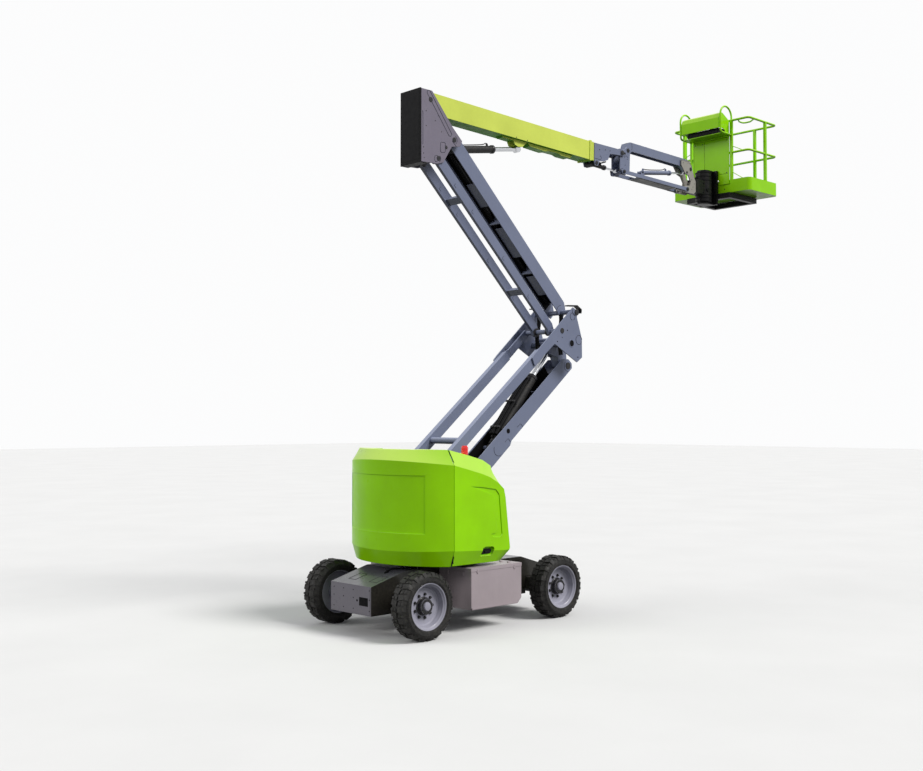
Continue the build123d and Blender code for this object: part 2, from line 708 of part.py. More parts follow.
def upright():
    outline = steps(ARM4_TOP, UPRIGHT_OUTLINE)
    shape = both(plate(outline, UPRIGHT_OUT - UPRIGHT_T, UPRIGHT_OUT))
    inside = UPRIGHT_OUT - UPRIGHT_T + 1
    for at in (LADDER_TOP, BOOM_PIVOT):
        shape += pin(at, -inside, inside, ARM_PIN_R)
    shape += pin(BOOM_CYL_ROOT, -inside, inside, BOOM_CYL_PIN_R)
    shape += both(pin(ARM4_TOP, 84, inside, ARM_PIN_R))
    x, top = outline[0]
    shape += block(x + 5, x + 5 + UPRIGHT_BACK_T, -inside, inside, outline[-1][1] + 15, top - 10)
    return shape


def upright_cover():
    outline = steps(ARM4_TOP, UPRIGHT_OUTLINE)
    x, top = outline[0]
    return block(x - 1 - COVER_T, x - 1, -UPRIGHT_OUT, UPRIGHT_OUT, outline[-1][1] - 10, top + 5)


# ------------------------------------------------------------------ booms
def boom():
    s0, s1 = BOOM_S
    t0, t1 = BOOM_T
    inner = BOOM_HALF - BOOM_WALL
    cut = BOOM_FOOT_CUT
    view = [(s0, t0), (s1, t0), (s1, t1), (s0 + cut, t1), (s0, t1 - cut)]
    shape = plate(view, -BOOM_HALF, BOOM_HALF)
    shape += block(s1 - 90, s1 - 60, -BOOM_HALF - 12, BOOM_HALF + 12, t0 - 12, t1 + 12)
    shape -= block(120, s1 + 1, -inner, inner, t0 + BOOM_WALL, t1 - BOOM_WALL)
    shape -= pin((0, 0), -BOOM_HALF - 1, BOOM_HALF + 1, ARM_PIN_R + PIN_GAP)
    lug = [(1480, -129), (1740, -129), (1660, -200), (1580, -215), (1520, -200)]
    shape += both(plate(lug, 42, 58))
    return frame(BOOM_PIVOT, BOOM_TILT) * shape


HEAD_OUTLINE = [
    # s and t of the head's side plates, from the boom's mouth to the tip
    (HEAD_S, -125),
    (HEAD_S + 20, -180),
    (HEAD_S + 80, -180),
    (HEAD_S + 110, -112),
    (HEAD_S + 209, -98),
    (HEAD_S + 290, -62),
    (HEAD_S + 330, 26),
    (HEAD_S + 420, 36),
    (FLY_TIP[0] - 30, FLY_TIP[1] - 42),
    (FLY_TIP[0] + 30, FLY_TIP[1] - 40),
    (FLY_TIP[0] + 48, FLY_TIP[1]),
    (FLY_TIP[0] + 20, FLY_TIP[1] + 40),
    (FLY_TIP[0] - 60, FLY_TIP[1] + 36),
    (HEAD_S, 114),
]


def fly():
    """Inner boom tube and its head: two side plates open below, under a top plate."""
    gap = BOOM_WALL + FLY_GAP
    half = BOOM_HALF - gap
    t0 = BOOM_T[0] + gap
    t1 = BOOM_T[1] - gap
    s0, s1 = FLY_S
    shape = block(s0, s1, -half, half, t0, t1)
    shape -= block(s0 - 1, s1 + 1, -half + 8, half - 8, t0 + 8, t1 - 8)
    shape += both(plate(HEAD_OUTLINE, BOOM_HALF - HEAD_PLATE, BOOM_HALF))
    s, t = FLY_TIP
    top_view = [(HEAD_S, 104), (HEAD_S, 114), (s - 60, t + 36), (s - 60, t + 26)]
    shape += plate(top_view, -BOOM_HALF + 1, BOOM_HALF - 1)
    shape += pin(FLY_TIP, -BOOM_HALF + 1, BOOM_HALF - 1, ARM_PIN_R)
    shape += pin(LEVEL_ROOT_ST, -BOOM_HALF + 1, BOOM_HALF - 1, LEVEL_PIN_R)
    return frame(BOOM_PIVOT, BOOM_TILT) * shape


# ------------------------------------------------------------------ jib
REAR_BRACKET = [
    # steps from the pin at the fly's tip
    (-44, 6),
    (-24, 40),
    (30, 38),
    (100, 78),
    (135, 110),
    (185, 108),
    (205, 60),
    (196, -10),
    (186, -215),
    (86, -292),
    (-10, -292),
    (-24, -230),
    (-22, -40),
]
FRONT_BRACKET = [
    # steps from the lower front pin
    (-105, 342),
    (-105, 417),
    (85, 425),
    (160, 345),
    (178, 290),
    (210, 204),
    (251, 150),
    (252, 0),
    (200, -40),
    (-36, -40),
    (-44, 34),
    (30, 60),
    (108, 68),
    (128, 128),
    (70, 212),
    (-12, 232),
    (-60, 292),
]


def jib_rear_bracket():
    inner = JIB_PLATE_OUT - JIB_PLATE_T
    outline = steps(FLY_TIP_PIN, REAR_BRACKET)
    shape = both(plate(outline, inner, JIB_PLATE_OUT))
    shape += pin(JIB_HIGH_REAR, -inner - 1, inner + 1, JIB_PIN_R)
    shape += pin(JIB_LOW_REAR, -JIB_RAIL_OUT - 6, JIB_RAIL_OUT + 6, JIB_PIN_R)
    shape += both(pin(FLY_TIP_PIN, inner - 20, JIB_PLATE_OUT, ARM_PIN_R + 14))
    x, z = step(FLY_TIP_PIN, (170, -100))
    shape += block(x - 8, x + 8, -inner - 1, inner + 1, z - 90, z + 50)
    return shape - pin(FLY_TIP_PIN, -JIB_PLATE_OUT - 1, JIB_PLATE_OUT + 1, ARM_PIN_R + PIN_GAP)


def jib_top_arm():
    """A channel open below, so that the cylinder nests in it; its ends drop to the pins."""
    low, high = JIB_TOP_T
    length = JIB_LENGTH
    view = [(-38, -22), (-20, -42), (40, -44), (120, low), (length - 110, low)]
    view += [(length - 30, -40), (length + 30, -40), (length + 42, 0), (length + 20, 60)]
    view += [(length - 30, high - 8), (length - 90, high), (80, high), (20, high - 22)]
    shape = both(plate(view, JIB_TOP_HALF - JIB_TOP_WALL, JIB_TOP_HALF))
    inner = JIB_TOP_HALF - JIB_TOP_WALL + 1
    shape += block(75, length - 85, -inner, inner, high - 8, high)
    shape += plate([(-32, -14), (-24, -18), (28, high - 24), (22, high - 24)], -inner, inner)
    for at in ((0, 0), (length, 0)):
        shape -= pin(at, -JIB_TOP_HALF - 1, JIB_TOP_HALF + 1, JIB_PIN_R + PIN_GAP)
    return frame(JIB_HIGH_REAR, JIB_ANGLE) * shape


def jib_low_arm():
    """Two side rails with a floor plate between them."""
    low, high = JIB_RAIL_T
    length = JIB_LENGTH
    view = [(-42, -14), (-24, -36), (24, -36), (60, low), (length - 60, low)]
    view += [(length - 24, -36), (length + 24, -36), (length + 42, -14), (length + 42, 14)]
    view += [(length + 20, 34), (length - 40, high), (40, high), (-20, 34), (-42, 14)]
    shape = both(plate(view, JIB_RAIL_IN, JIB_RAIL_OUT))
    s0, s1 = JIB_FLOOR_S
    shape += block(s0, s1, -JIB_RAIL_IN - 1, JIB_RAIL_IN + 1, low, low + 10)
    s, t = JIB_CYL_ROOT
    ear = [(s - 70, low + 1), (s + 60, low + 1), (s + 26, t + 18), (s - 26, t + 18)]
    shape += both(plate(ear, *JIB_EARS))
    shape += pin((s, t), -JIB_EARS[1], JIB_EARS[1], JIB_CYL_PIN_R)
    for at in ((0, 0), (length, 0)):
        shape -= pin(at, -JIB_RAIL_OUT - 1, JIB_RAIL_OUT + 1, JIB_PIN_R + PIN_GAP)
    return frame(JIB_LOW_REAR, JIB_ANGLE) * shape


def jib_front_bracket():
    inner = JIB_PLATE_OUT - JIB_PLATE_T
    outline = steps(JIB_LOW_FRONT, FRONT_BRACKET)
    shape = both(plate(outline, inner, JIB_PLATE_OUT))
    shape += both(pin(JIB_HIGH_FRONT, JIB_TOP_HALF - JIB_TOP_WALL - 4, inner + 1, JIB_PIN_R))
    shape += pin(JIB_LOW_FRONT, -JIB_RAIL_OUT - 6, JIB_RAIL_OUT + 6, JIB_PIN_R)
    x, z = JIB_LOW_FRONT
    shape += block(x + 232, x + 251, -inner - 1, inner + 1, z - 5, z + 147)
    return shape


def rotator():
    """Housing that turns the platform: a round body on a block that bolts to the jib's front bracket."""
    z0 = ROTATOR_LOW
    z1 = ROTATOR_TOP
    shape = Pos(ROTATOR_X, 0, (z0 + z1) / 2) * Cylinder(ROTATOR_R, z1 - z0)
    face = JIB_LOW_FRONT[0] + 253
    shape += block(face, ROTATOR_X, -84, 84, JIB_LOW_FRONT[1] - 10, JIB_LOW_FRONT[1] + 190)
    shape -= Pos(ROTATOR_X, 0, (z0 + z1) / 2) * Cylinder(40, z1 - z0 + 2)
    return shape


# ------------------------------------------------------------------ platform
def platform_support():
    z0 = FLOOR_LOW + SUPPORT_H[0]
    z1 = FLOOR_LOW + SUPPORT_H[1]
    low = ROTATOR_LOW - 8
    top = ROTATOR_TOP + 8
    shape = Pos(ROTATOR_X, 0, (low + top) / 2) * Cylinder(38, top - low + 2)
    back = PLATFORM_X[0] - 62
    for a, b in ((low - 24, low), (top, top + 20)):
        shape += Pos(ROTATOR_X, 0, (a + b) / 2) * Cylinder(95, b - a)
        shape += block(ROTATOR_X, back + 1, -95, 95, a, b)
    shape += block(back, back + 40, -150, 150, low - 24, top + 20)
    front = PLATFORM_X[1] - 110 - SUPPORT_TUBE
    half = SUPPORT_HALF
    shape += block(back, back + SUPPORT_TUBE + 20, -half, half, z0, z1)
    shape += block(front, front + SUPPORT_TUBE, -half, half, z0, z1)
    shape += both(block(back, front + 1, half - SUPPORT_TUBE, half, z0, z1))
    return shape


def platform_outline(inset, z):
    x0, x1 = PLATFORM_X
    half = PLATFORM_HALF - inset
    corners = [(x0 + inset, -half, z), (x1 - inset, -half, z), (x1 - inset, half, z), (x0 + inset, half, z)]
    return FilletPolyline(*corners, radius=PLATFORM_CORNER - inset, close=True)


def platform_floor():
    z1 = FLOOR_LOW + FLOOR_T
    floor = extrude(make_face(platform_outline(0, FLOOR_LOW)), amount=FLOOR_T, dir=(0, 0, 1))
    kick = extrude(make_face(platform_outline(0, z1)), amount=KICK_TOP - z1, dir=(0, 0, 1))
    kick -= extrude(make_face(platform_outline(KICK_T, z1)), amount=KICK_TOP - z1, dir=(0, 0, 1))
    return floor + kick


def rail_ring(z):
    path = platform_outline(RAIL_R + 3, z)
    start = path @ 0
    section = Plane(origin=start, z_dir=path % 0) * Circle(RAIL_R)
    return sweep(section, path=path)


def bent_tube(points, radii, r):
    path = FilletPolyline(*points, radius=radii, close=False)
    return sweep(Plane(origin=path @ 0, z_dir=path % 0) * Circle(r), path=path)


def platform_rails():
    shape = rail_ring(MID_RAIL_Z) + rail_ring(TOP_RAIL_Z)
    gap = (GATE_SPAN[0] - 19, GATE_SPAN[1] + 19)
    inset = RAIL_R + 3
    half = PLATFORM_HALF - inset
    shape -= block(gap[0], gap[1], half - 40, half + 40, KICK_TOP, TOP_RAIL_Z + 60)
    x0 = PLATFORM_X[0] + inset
    x1 = PLATFORM_X[1] - inset
    z0 = KICK_TOP
    posts = [(x1, -0.45 * half), (x1, 0.45 * half), ((x0 + x1) / 2 + 70, -half)]
    posts += [(x0, CONSOLE_Y[0]), (x0, CONSOLE_Y[1]), (gap[0], half), (gap[1], half)]
    for x, y in posts:
        shape += block(x - POST_HALF, x + POST_HALF, y - POST_HALF, y + POST_HALF, z0, TOP_RAIL_Z)
    rear = PLATFORM_X[0] - CONSOLE_BACK
    low = FLOOR_LOW + PANEL_H
    high = FLOOR_LOW + HOOP_H - 14
    reach = (x0 - rear) / 2 - 2
    for y in CONSOLE_Y:
        hoop = [(x0, y, low), (rear + 12, y, low + 8), (rear, y, high), (x0, y, high), (x0, y, low + 40)]
        shape += bent_tube(hoop, [40, reach, reach], 14)
    for side in (-1, 1):
        loop = [(x0 + a, side * b * half, TOP_RAIL_Z) for a, b in CORNER_LOOP]
        shape += bent_tube(loop, [50] * (len(loop) - 2), 12)
    return shape


def gate():
    y = PLATFORM_HALF - RAIL_R - 3
    x0 = GATE_SPAN[0] + 22
    x1 = GATE_SPAN[1] - 12
    shape = Pos(x0, y, (KICK_TOP + 8 + TOP_RAIL_Z) / 2) * Cylinder(15, TOP_RAIL_Z - KICK_TOP - 8)
    shape += block(x1 - 30, x1, y - 15, y + 15, KICK_TOP + 8, TOP_RAIL_Z)
    for z in (KICK_TOP + 60, MID_RAIL_Z, TOP_RAIL_Z - 15):
        shape += block(x0, x1, y - 13, y + 13, z - 15, z + 15)
    return shape


def console():
    """Panel below the rail and, above it, a folded hood with side cheeks between the hoops."""
    x0 = PLATFORM_X[0] - 2
    y0 = CONSOLE_Y[0] + 22
    y1 = CONSOLE_Y[1] - 22
    rear = PLATFORM_X[0] - CONSOLE_BACK
    z_low, z_fold, z_crest = (FLOOR_LOW + h for h in HOOD_H)
    panel_top = FLOOR_LOW + PANEL_H
    t = 8
    panel = block(x0 - 14, x0, y0, y1 - 30, KICK_TOP - 60, panel_top)
    shelf = block(rear + 40, x0, y0, y1, panel_top - t, panel_top)
    panel -= Pos(x0, 0, KICK_TOP - 60) * Rot(0, 90, 0) * Cylinder(170, 60)
    crest = [(rear, z_low), (rear - 6, z_fold), (rear + 24, z_crest - 22), (rear + 60, z_crest)]
    crest += [(rear + 100, z_crest - 4), (x0 - 6, z_crest - 90)]
    hood_view = crest + [(x0 - 10, z_crest - 90 - t), (rear + 98, z_crest - 4 - t), (rear + 62, z_crest - t)]
    hood_view += [(rear + 31, z_crest - 25), (rear + 3, z_fold), (rear + t + 1, z_low)]
    hood = plate(hood_view, y0, y1)
    cheek_view = crest + [(x0 - 6, panel_top - t), (x0 - 60, panel_top - t)]
    cheek_view += [(x0 - 130, panel_top + 60), (rear + 90, z_low + 10)]
    cheek = plate(cheek_view, y1 - t, y1)
    cheek += plate(cheek_view, y0, y0 + t)
    return panel + shelf + hood + cheek


def console_box():
    x0 = PLATFORM_X[0] - CONSOLE_BACK + 50
    z0 = FLOOR_LOW + PANEL_H + 1
    return block(x0, PLATFORM_X[0] - 40, CONSOLE_Y[0] + 60, CONSOLE_Y[1] - 100, z0, z0 + 80)


# ------------------------------------------------------------------ cylinders
def cylinder_pair(root, eye, barrel_r, rod_r, barrel_length, eye_half, pin_r, travel_in):
    """Barrel with its root eye, and rod with its own eye, between two points."""
    line = frame(root, angle_of(root, eye))
    length = length_of(root, eye)
    start = pin_r * 1.2
    bore_start = barrel_r + pin_r
    barrel = rod((start, 0, 0), (barrel_length, 0, 0), barrel_r)
    barrel += pin((0, 0), -eye_half, eye_half, pin_r * 1.9)
    barrel -= rod((bore_start, 0, 0), (barrel_length + 2, 0, 0), rod_r + PIN_GAP)
    barrel -= pin((0, 0), -eye_half - 1, eye_half + 1, pin_r + PIN_GAP)
    inside = bore_start + travel_in + 10
    shaft = rod((inside, 0, 0), (length, 0, 0), rod_r)
    shaft += pin((length, 0), -eye_half, eye_half, pin_r * 1.9)
    return line * barrel, line * shaft


# ------------------------------------------------------------------ write the parts
lugged_tyre = tyre_body()
for end, x in (("front", -AXLE_X), ("rear", AXLE_X)):
    for name, side in (("left", 1), ("right", -1)):
        write("tyre_" + end + "_" + name, tyre(lugged_tyre, x, side))
        write("rim_" + end + "_" + name, rim(x, side, end == "front"))

write("chassis_frame", chassis_frame())
write("battery_boxes", battery_boxes())
write("axles", steer_axle() + drive_axle())
write("slew_ring", slew_ring())
write("knuckle_left", knuckle(1))
write("knuckle_right", knuckle(-1))
write("tie_rod", tie_rod())
write("turntable", turntable())
write("tail_cowl", tail_cowl())
write("counterweight", counterweight())
write("side_door_left", side_door(1))
write("side_door_right", side_door(-1))
write("beacon", beacon())
write("lower_arm", lower_arm())
write("lower_link", lower_link())
write("elbow", elbow())
write("elbow_guard", elbow_guard())
write("upper_arm", upper_arm())
write("upper_ladder", upper_ladder())
write("upright", upright())
write("upright_cover", upright_cover())
write("boom", boom())
write("fly_boom", fly())
write("jib_rear_bracket", jib_rear_bracket())
write("jib_top_arm", jib_top_arm())
write("jib_low_arm", jib_low_arm())
write("jib_front_bracket", jib_front_bracket())
write("rotator", rotator())
write("platform_support", platform_support())
write("platform_floor", platform_floor())
write("platform_rails", platform_rails())
write("gate", gate())
write("console", console())
write("console_box", console_box())

CYLINDERS = (
    # name, root, eye, barrel and rod radius, barrel length, half width of eyes, pin radius, inward travel
    ("lift", LIFT_ROOT, LIFT_EYE, 62.0, 36.0, 1150.0, 32.0, LIFT_PIN_R, 260.0),
    ("boom", BOOM_CYL_ROOT, BOOM_CYL_EYE_PIN, 45.0, 28.0, 950.0, 34.0, BOOM_CYL_PIN_R, 100.0),
    ("jib", JIB_ROOT, JIB_EYE, 30.0, 15.0, 690.0, 29.0, JIB_CYL_PIN_R, 300.0),
    ("level", LEVEL_ROOT, LEVEL_EYE, 27.0, 14.0, 290.0, 24.0, LEVEL_PIN_R, 175.0),
)
for name, root, eye, *sizes in CYLINDERS:
    barrel, shaft = cylinder_pair(root, eye, *sizes)
    write(name + "_barrel", barrel)
    write(name + "_rod", shaft)
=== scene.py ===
"""Dresses the boom lift's frame: camera, light, materials and the detail that the solids leave out."""

import json
from math import atan2, cos, degrees, pi, radians, sin

import bmesh
import bpy
from mathutils import Matrix, Vector


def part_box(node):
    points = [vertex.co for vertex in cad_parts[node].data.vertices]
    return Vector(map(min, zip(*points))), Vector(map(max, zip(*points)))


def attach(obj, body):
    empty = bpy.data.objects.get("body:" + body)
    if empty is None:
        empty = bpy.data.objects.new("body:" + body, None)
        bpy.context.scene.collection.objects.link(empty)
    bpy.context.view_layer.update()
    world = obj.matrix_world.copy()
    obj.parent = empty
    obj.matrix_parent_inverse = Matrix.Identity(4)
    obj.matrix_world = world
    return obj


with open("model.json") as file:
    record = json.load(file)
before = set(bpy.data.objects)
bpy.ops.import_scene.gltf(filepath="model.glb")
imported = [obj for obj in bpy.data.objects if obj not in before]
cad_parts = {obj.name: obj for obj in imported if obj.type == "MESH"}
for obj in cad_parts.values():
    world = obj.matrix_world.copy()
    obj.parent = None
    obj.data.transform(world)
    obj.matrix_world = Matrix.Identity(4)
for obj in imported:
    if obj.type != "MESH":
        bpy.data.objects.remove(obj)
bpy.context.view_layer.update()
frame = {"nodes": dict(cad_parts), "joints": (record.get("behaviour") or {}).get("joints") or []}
NODES = frame["nodes"]
SCENE = bpy.context.scene

# ---- camera
CAMERA_AT = (-9.079, -9.685, 2.306)
CAMERA_YAW = radians(46.08)
CAMERA_PITCH = radians(1.735)
LENS_MM = 44.443


def add_camera():
    data = bpy.data.cameras.new("camera")
    data.lens = LENS_MM
    data.sensor_width = 36.0
    data.clip_end = 200.0
    camera = bpy.data.objects.new("camera", data)
    way = Vector((
        cos(CAMERA_PITCH) * cos(CAMERA_YAW),
        cos(CAMERA_PITCH) * sin(CAMERA_YAW),
        sin(CAMERA_PITCH),
    ))
    camera.location = CAMERA_AT
    camera.rotation_euler = way.to_track_quat("-Z", "Y").to_euler()
    SCENE.collection.objects.link(camera)
    SCENE.camera = camera


# ---- materials
def rgb(red, green, blue):
    """A colour given as 0-255 display values, as the shader wants it."""
    linear = []
    for value in (red, green, blue):
        v = value / 255
        linear.append(v / 12.92 if v <= 0.04045 else ((v + 0.055) / 1.055) ** 2.4)
    return (*linear, 1.0)


def scaled(colour, k):
    return (*(min(1.0, c * k) for c in colour[:3]), 1.0)


class Tree:
    """A material's node tree, with short calls for the nodes that repeat."""

    def __init__(self, name):
        self.material = bpy.data.materials.new(name)
        self.material.use_nodes = True
        self.nodes = self.material.node_tree.nodes
        self.links = self.material.node_tree.links
        self.shader = self.nodes["Principled BSDF"]
        self.coords = self.add("ShaderNodeTexCoord").outputs["Object"]

    def add(self, kind, **settings):
        node = self.nodes.new(kind)
        for key, value in settings.items():
            setattr(node, key, value)
        return node

    def link(self, source, target):
        self.links.new(source, target)

    def drive(self, socket, source):
        self.link(source, self.shader.inputs[socket])

    def fixed(self, socket, value):
        self.shader.inputs[socket].default_value = value

    def noise(self, scale, detail=3.0, rough=0.55, stretch=None):
        """Cloudy values from 0 to 1, drawn out along the axes by stretch."""
        where = self.coords
        if stretch:
            mapping = self.add("ShaderNodeMapping")
            mapping.inputs["Scale"].default_value = stretch
            self.link(self.coords, mapping.inputs["Vector"])
            where = mapping.outputs["Vector"]
        node = self.add("ShaderNodeTexNoise")
        node.inputs["Scale"].default_value = scale
        node.inputs["Detail"].default_value = detail
        node.inputs["Roughness"].default_value = rough
        self.link(where, node.inputs["Vector"])
        return node.outputs["Fac"]

    def span(self, value, low, high, out_low=0.0, out_high=1.0):
        """Maps low..high to out_low..out_high, held at both ends."""
        node = self.add("ShaderNodeMapRange")
        node.inputs["From Min"].default_value = low
        node.inputs["From Max"].default_value = high
        node.inputs["To Min"].default_value = out_low
        node.inputs["To Max"].default_value = out_high
        self.link(value, node.inputs["Value"])
        return node.outputs["Result"]

    def maths(self, operation, a, b):
        node = self.add("ShaderNodeMath", operation=operation)
        for socket, value in zip(node.inputs, (a, b)):
            if isinstance(value, (int, float)):
                socket.default_value = value
            else:
                self.link(value, socket)
        return node.outputs["Value"]

    def mix(self, factor, a, b):
        """Colour a at factor 0, colour b at factor 1."""
        node = self.add("ShaderNodeMix", data_type="RGBA")
        for key, value in ((0, factor), (6, a), (7, b)):
            if isinstance(value, (tuple, float)):
                node.inputs[key].default_value = value
            else:
                self.link(value, node.inputs[key])
        return node.outputs[2]

    def bump(self, height, strength, distance, normal=None):
        node = self.add("ShaderNodeBump")
        node.inputs["Strength"].default_value = strength
        node.inputs["Distance"].default_value = distance
        self.link(height, node.inputs["Height"])
        if normal is not None:
            self.link(normal, node.inputs["Normal"])
        return node.outputs["Normal"]

    def edges(self, radius):
        """(rounded normal, mask that is 1 on sharp edges)"""
        bevel = self.add("ShaderNodeBevel", samples=4)
        bevel.inputs["Radius"].default_value = radius
        true = self.add("ShaderNodeNewGeometry")
        dot = self.add("ShaderNodeVectorMath", operation="DOT_PRODUCT")
        self.link(bevel.outputs["Normal"], dot.inputs[0])
        self.link(true.outputs["Normal"], dot.inputs[1])
        return bevel.outputs["Normal"], self.span(dot.outputs["Value"], 0.985, 0.80)

    def height_z(self, low, high, out_low, out_high):
        """A value that runs with the height above the ground, in metres."""
        parts = self.add("ShaderNodeSeparateXYZ")
        self.link(self.coords, parts.inputs["Vector"])
        return self.span(parts.outputs["Z"], low, high, out_low, out_high)


DUST = (150, 140, 125)
BARE_STEEL = (95, 92, 88)
TYRE_DUST = (104, 98, 86)
SCUFF = (110, 106, 100)
TARNISH = (92, 80, 68)


def painted(name, colour, rough=0.34, coat=0.25, vary=0.07, dust=0.12, wear=0.35, worn=BARE_STEEL,
            streaks=0.10, low_dirt=0.0, spec=0.25, top_painted_light=None, down_shade=0.45, sides=None, down_shade_tone=None):
    """Sprayed enamel on steel: cloudy tone, faint run marks, dust, rubbed edges, orange peel.

    The tone for faces that look up is painted light: a painted highlight from the light above, and on
    the chassis a darker painted reflection. The tone and the share of it on faces that look down are
    painted shade, the shade that falls below things. sides is the tone of faces that look left or right.
    """
    t = Tree(name)
    clouds = t.noise(2.3, 4.0)
    tone = t.mix(t.span(clouds, 0.3, 0.7), scaled(colour, 1 - vary), scaled(colour, 1 + vary))
    runs = t.noise(5.0, 4.0, 0.6, stretch=(6.0, 6.0, 0.7))
    tone = t.mix(t.span(runs, 0.52, 0.8, 0.0, streaks), tone, scaled(colour, 0.55))
    grit = t.noise(38.0, 6.0, 0.7)
    dusty = t.span(grit, 0.48, 0.75, 0.0, dust)
    if low_dirt:
        dusty = t.maths("ADD", dusty, t.maths("MULTIPLY", t.height_z(0.2, 1.0, low_dirt, 0.0), grit))
    facing = t.add("ShaderNodeSeparateXYZ")
    t.link(t.add("ShaderNodeTexCoord").outputs["Normal"], facing.inputs["Vector"])
    if sides:
        turned = t.maths("ABSOLUTE", facing.outputs["Y"], 0.0)
        tone = t.mix(t.span(turned, 0.80, 0.95), tone, t.mix(clouds, rgb(*sides), scaled(rgb(*sides), 1.3)))
    tone = t.mix(dusty, tone, rgb(*DUST))
    # painted light: faces that look up take the top tone, a highlight from above, on the chassis a
    # reflection
    if top_painted_light:
        tone = t.mix(t.span(facing.outputs["Z"], 0.25, 0.8, 0.0, 0.9), tone, rgb(*top_painted_light))
    # painted shade: faces that look down darken towards this tone, as shade falls on them
    shaded = rgb(*down_shade_tone) if down_shade_tone else scaled(colour, 0.2)
    tone = t.mix(t.span(facing.outputs["Z"], -0.2, -0.7, 0.0, down_shade), tone, shaded)
    normal, edge = t.edges(0.004)
    chips = t.maths("MULTIPLY", edge, t.span(t.noise(26.0, 5.0, 0.75), 0.50, 0.62, 0.0, wear))
    tone = t.mix(chips, tone, rgb(*worn))
    t.drive("Base Color", tone)
    t.drive("Roughness", t.span(t.noise(9.0, 4.0), 0.3, 0.7, rough - 0.06, rough + 0.12))
    t.drive("Normal", t.bump(t.noise(420.0, 2.0), 0.12, 0.0006, normal))
    t.fixed("Specular IOR Level", spec)
    t.fixed("Coat Weight", coat)
    t.fixed("Coat Roughness", 0.14)
    return t.material


def rubber(name):
    t = Tree(name)
    grey = t.mix(t.span(t.noise(14.0, 5.0, 0.65), 0.35, 0.7), rgb(20, 20, 20), rgb(36, 35, 34))
    tone = t.mix(t.span(t.noise(60.0, 5.0, 0.7), 0.5, 0.75, 0.0, 0.3), grey, rgb(*TYRE_DUST))
    t.drive("Base Color", tone)
    t.drive("Roughness", t.span(t.noise(25.0), 0.3, 0.7, 0.5, 0.8))
    t.fixed("Specular IOR Level", 0.3)
    normal, _ = t.edges(0.003)
    t.drive("Normal", t.bump(t.noise(220.0, 4.0), 0.25, 0.001, normal))
    return t.material


def plastic(name, colour, rough=0.5):
    """Grained moulded plastic with light scuffs."""
    t = Tree(name)
    tone = t.mix(t.span(t.noise(6.0, 4.0), 0.3, 0.7), scaled(colour, 0.9), scaled(colour, 1.12))
    tone = t.mix(t.span(t.noise(70.0, 5.0, 0.7), 0.52, 0.8, 0.0, 0.1), tone, rgb(*SCUFF))
    t.drive("Base Color", tone)
    t.fixed("Specular IOR Level", 0.08)
    t.drive("Roughness", t.span(t.noise(20.0), 0.3, 0.7, rough - 0.07, rough + 0.1))
    normal, _ = t.edges(0.003)
    t.drive("Normal", t.bump(t.noise(300.0, 3.0), 0.2, 0.0007, normal))
    return t.material


def metal(name, colour, rough, stain):
    """Bright metal with stained patches."""
    t = Tree(name)
    tone = t.mix(t.span(t.noise(30.0, 5.0, 0.6), 0.4, 0.75, 0.0, stain), colour, rgb(*TARNISH))
    t.drive("Base Color", tone)
    t.fixed("Metallic", 1.0)
    t.drive("Roughness", t.span(t.noise(80.0, 3.0, 0.6), 0.3, 0.7, rough - 0.06, rough + 0.12))
    normal, _ = t.edges(0.002)
    t.drive("Normal", t.bump(t.noise(500.0, 2.0), 0.08, 0.0004, normal))
    return t.material


def lamp_glass(name, colour):
    t = Tree(name)
    tone = t.mix(t.span(t.noise(40.0), 0.3, 0.7), scaled(colour, 0.85), scaled(colour, 1.15))
    t.drive("Base Color", tone)
    t.drive("Roughness", t.span(t.noise(30.0), 0.3, 0.7, 0.1, 0.22))
    t.fixed("Coat Weight", 0.6)
    t.fixed("Coat Roughness", 0.05)
    return t.material


LIME = rgb(154, 226, 0)
PALE_LIME = rgb(220, 234, 104)
SLATE = rgb(114, 122, 148)
CHASSIS = rgb(112, 109, 120)
BOX = rgb(170, 158, 164)
RIM = rgb(160, 160, 176)
BLACK = rgb(20, 20, 22)
UPRIGHT = rgb(124, 118, 134)
SAND = rgb(160, 156, 150)
IRON = rgb(36, 36, 38)
GUNMETAL = rgb(30, 30, 34)
SOOT = (96, 94, 90)
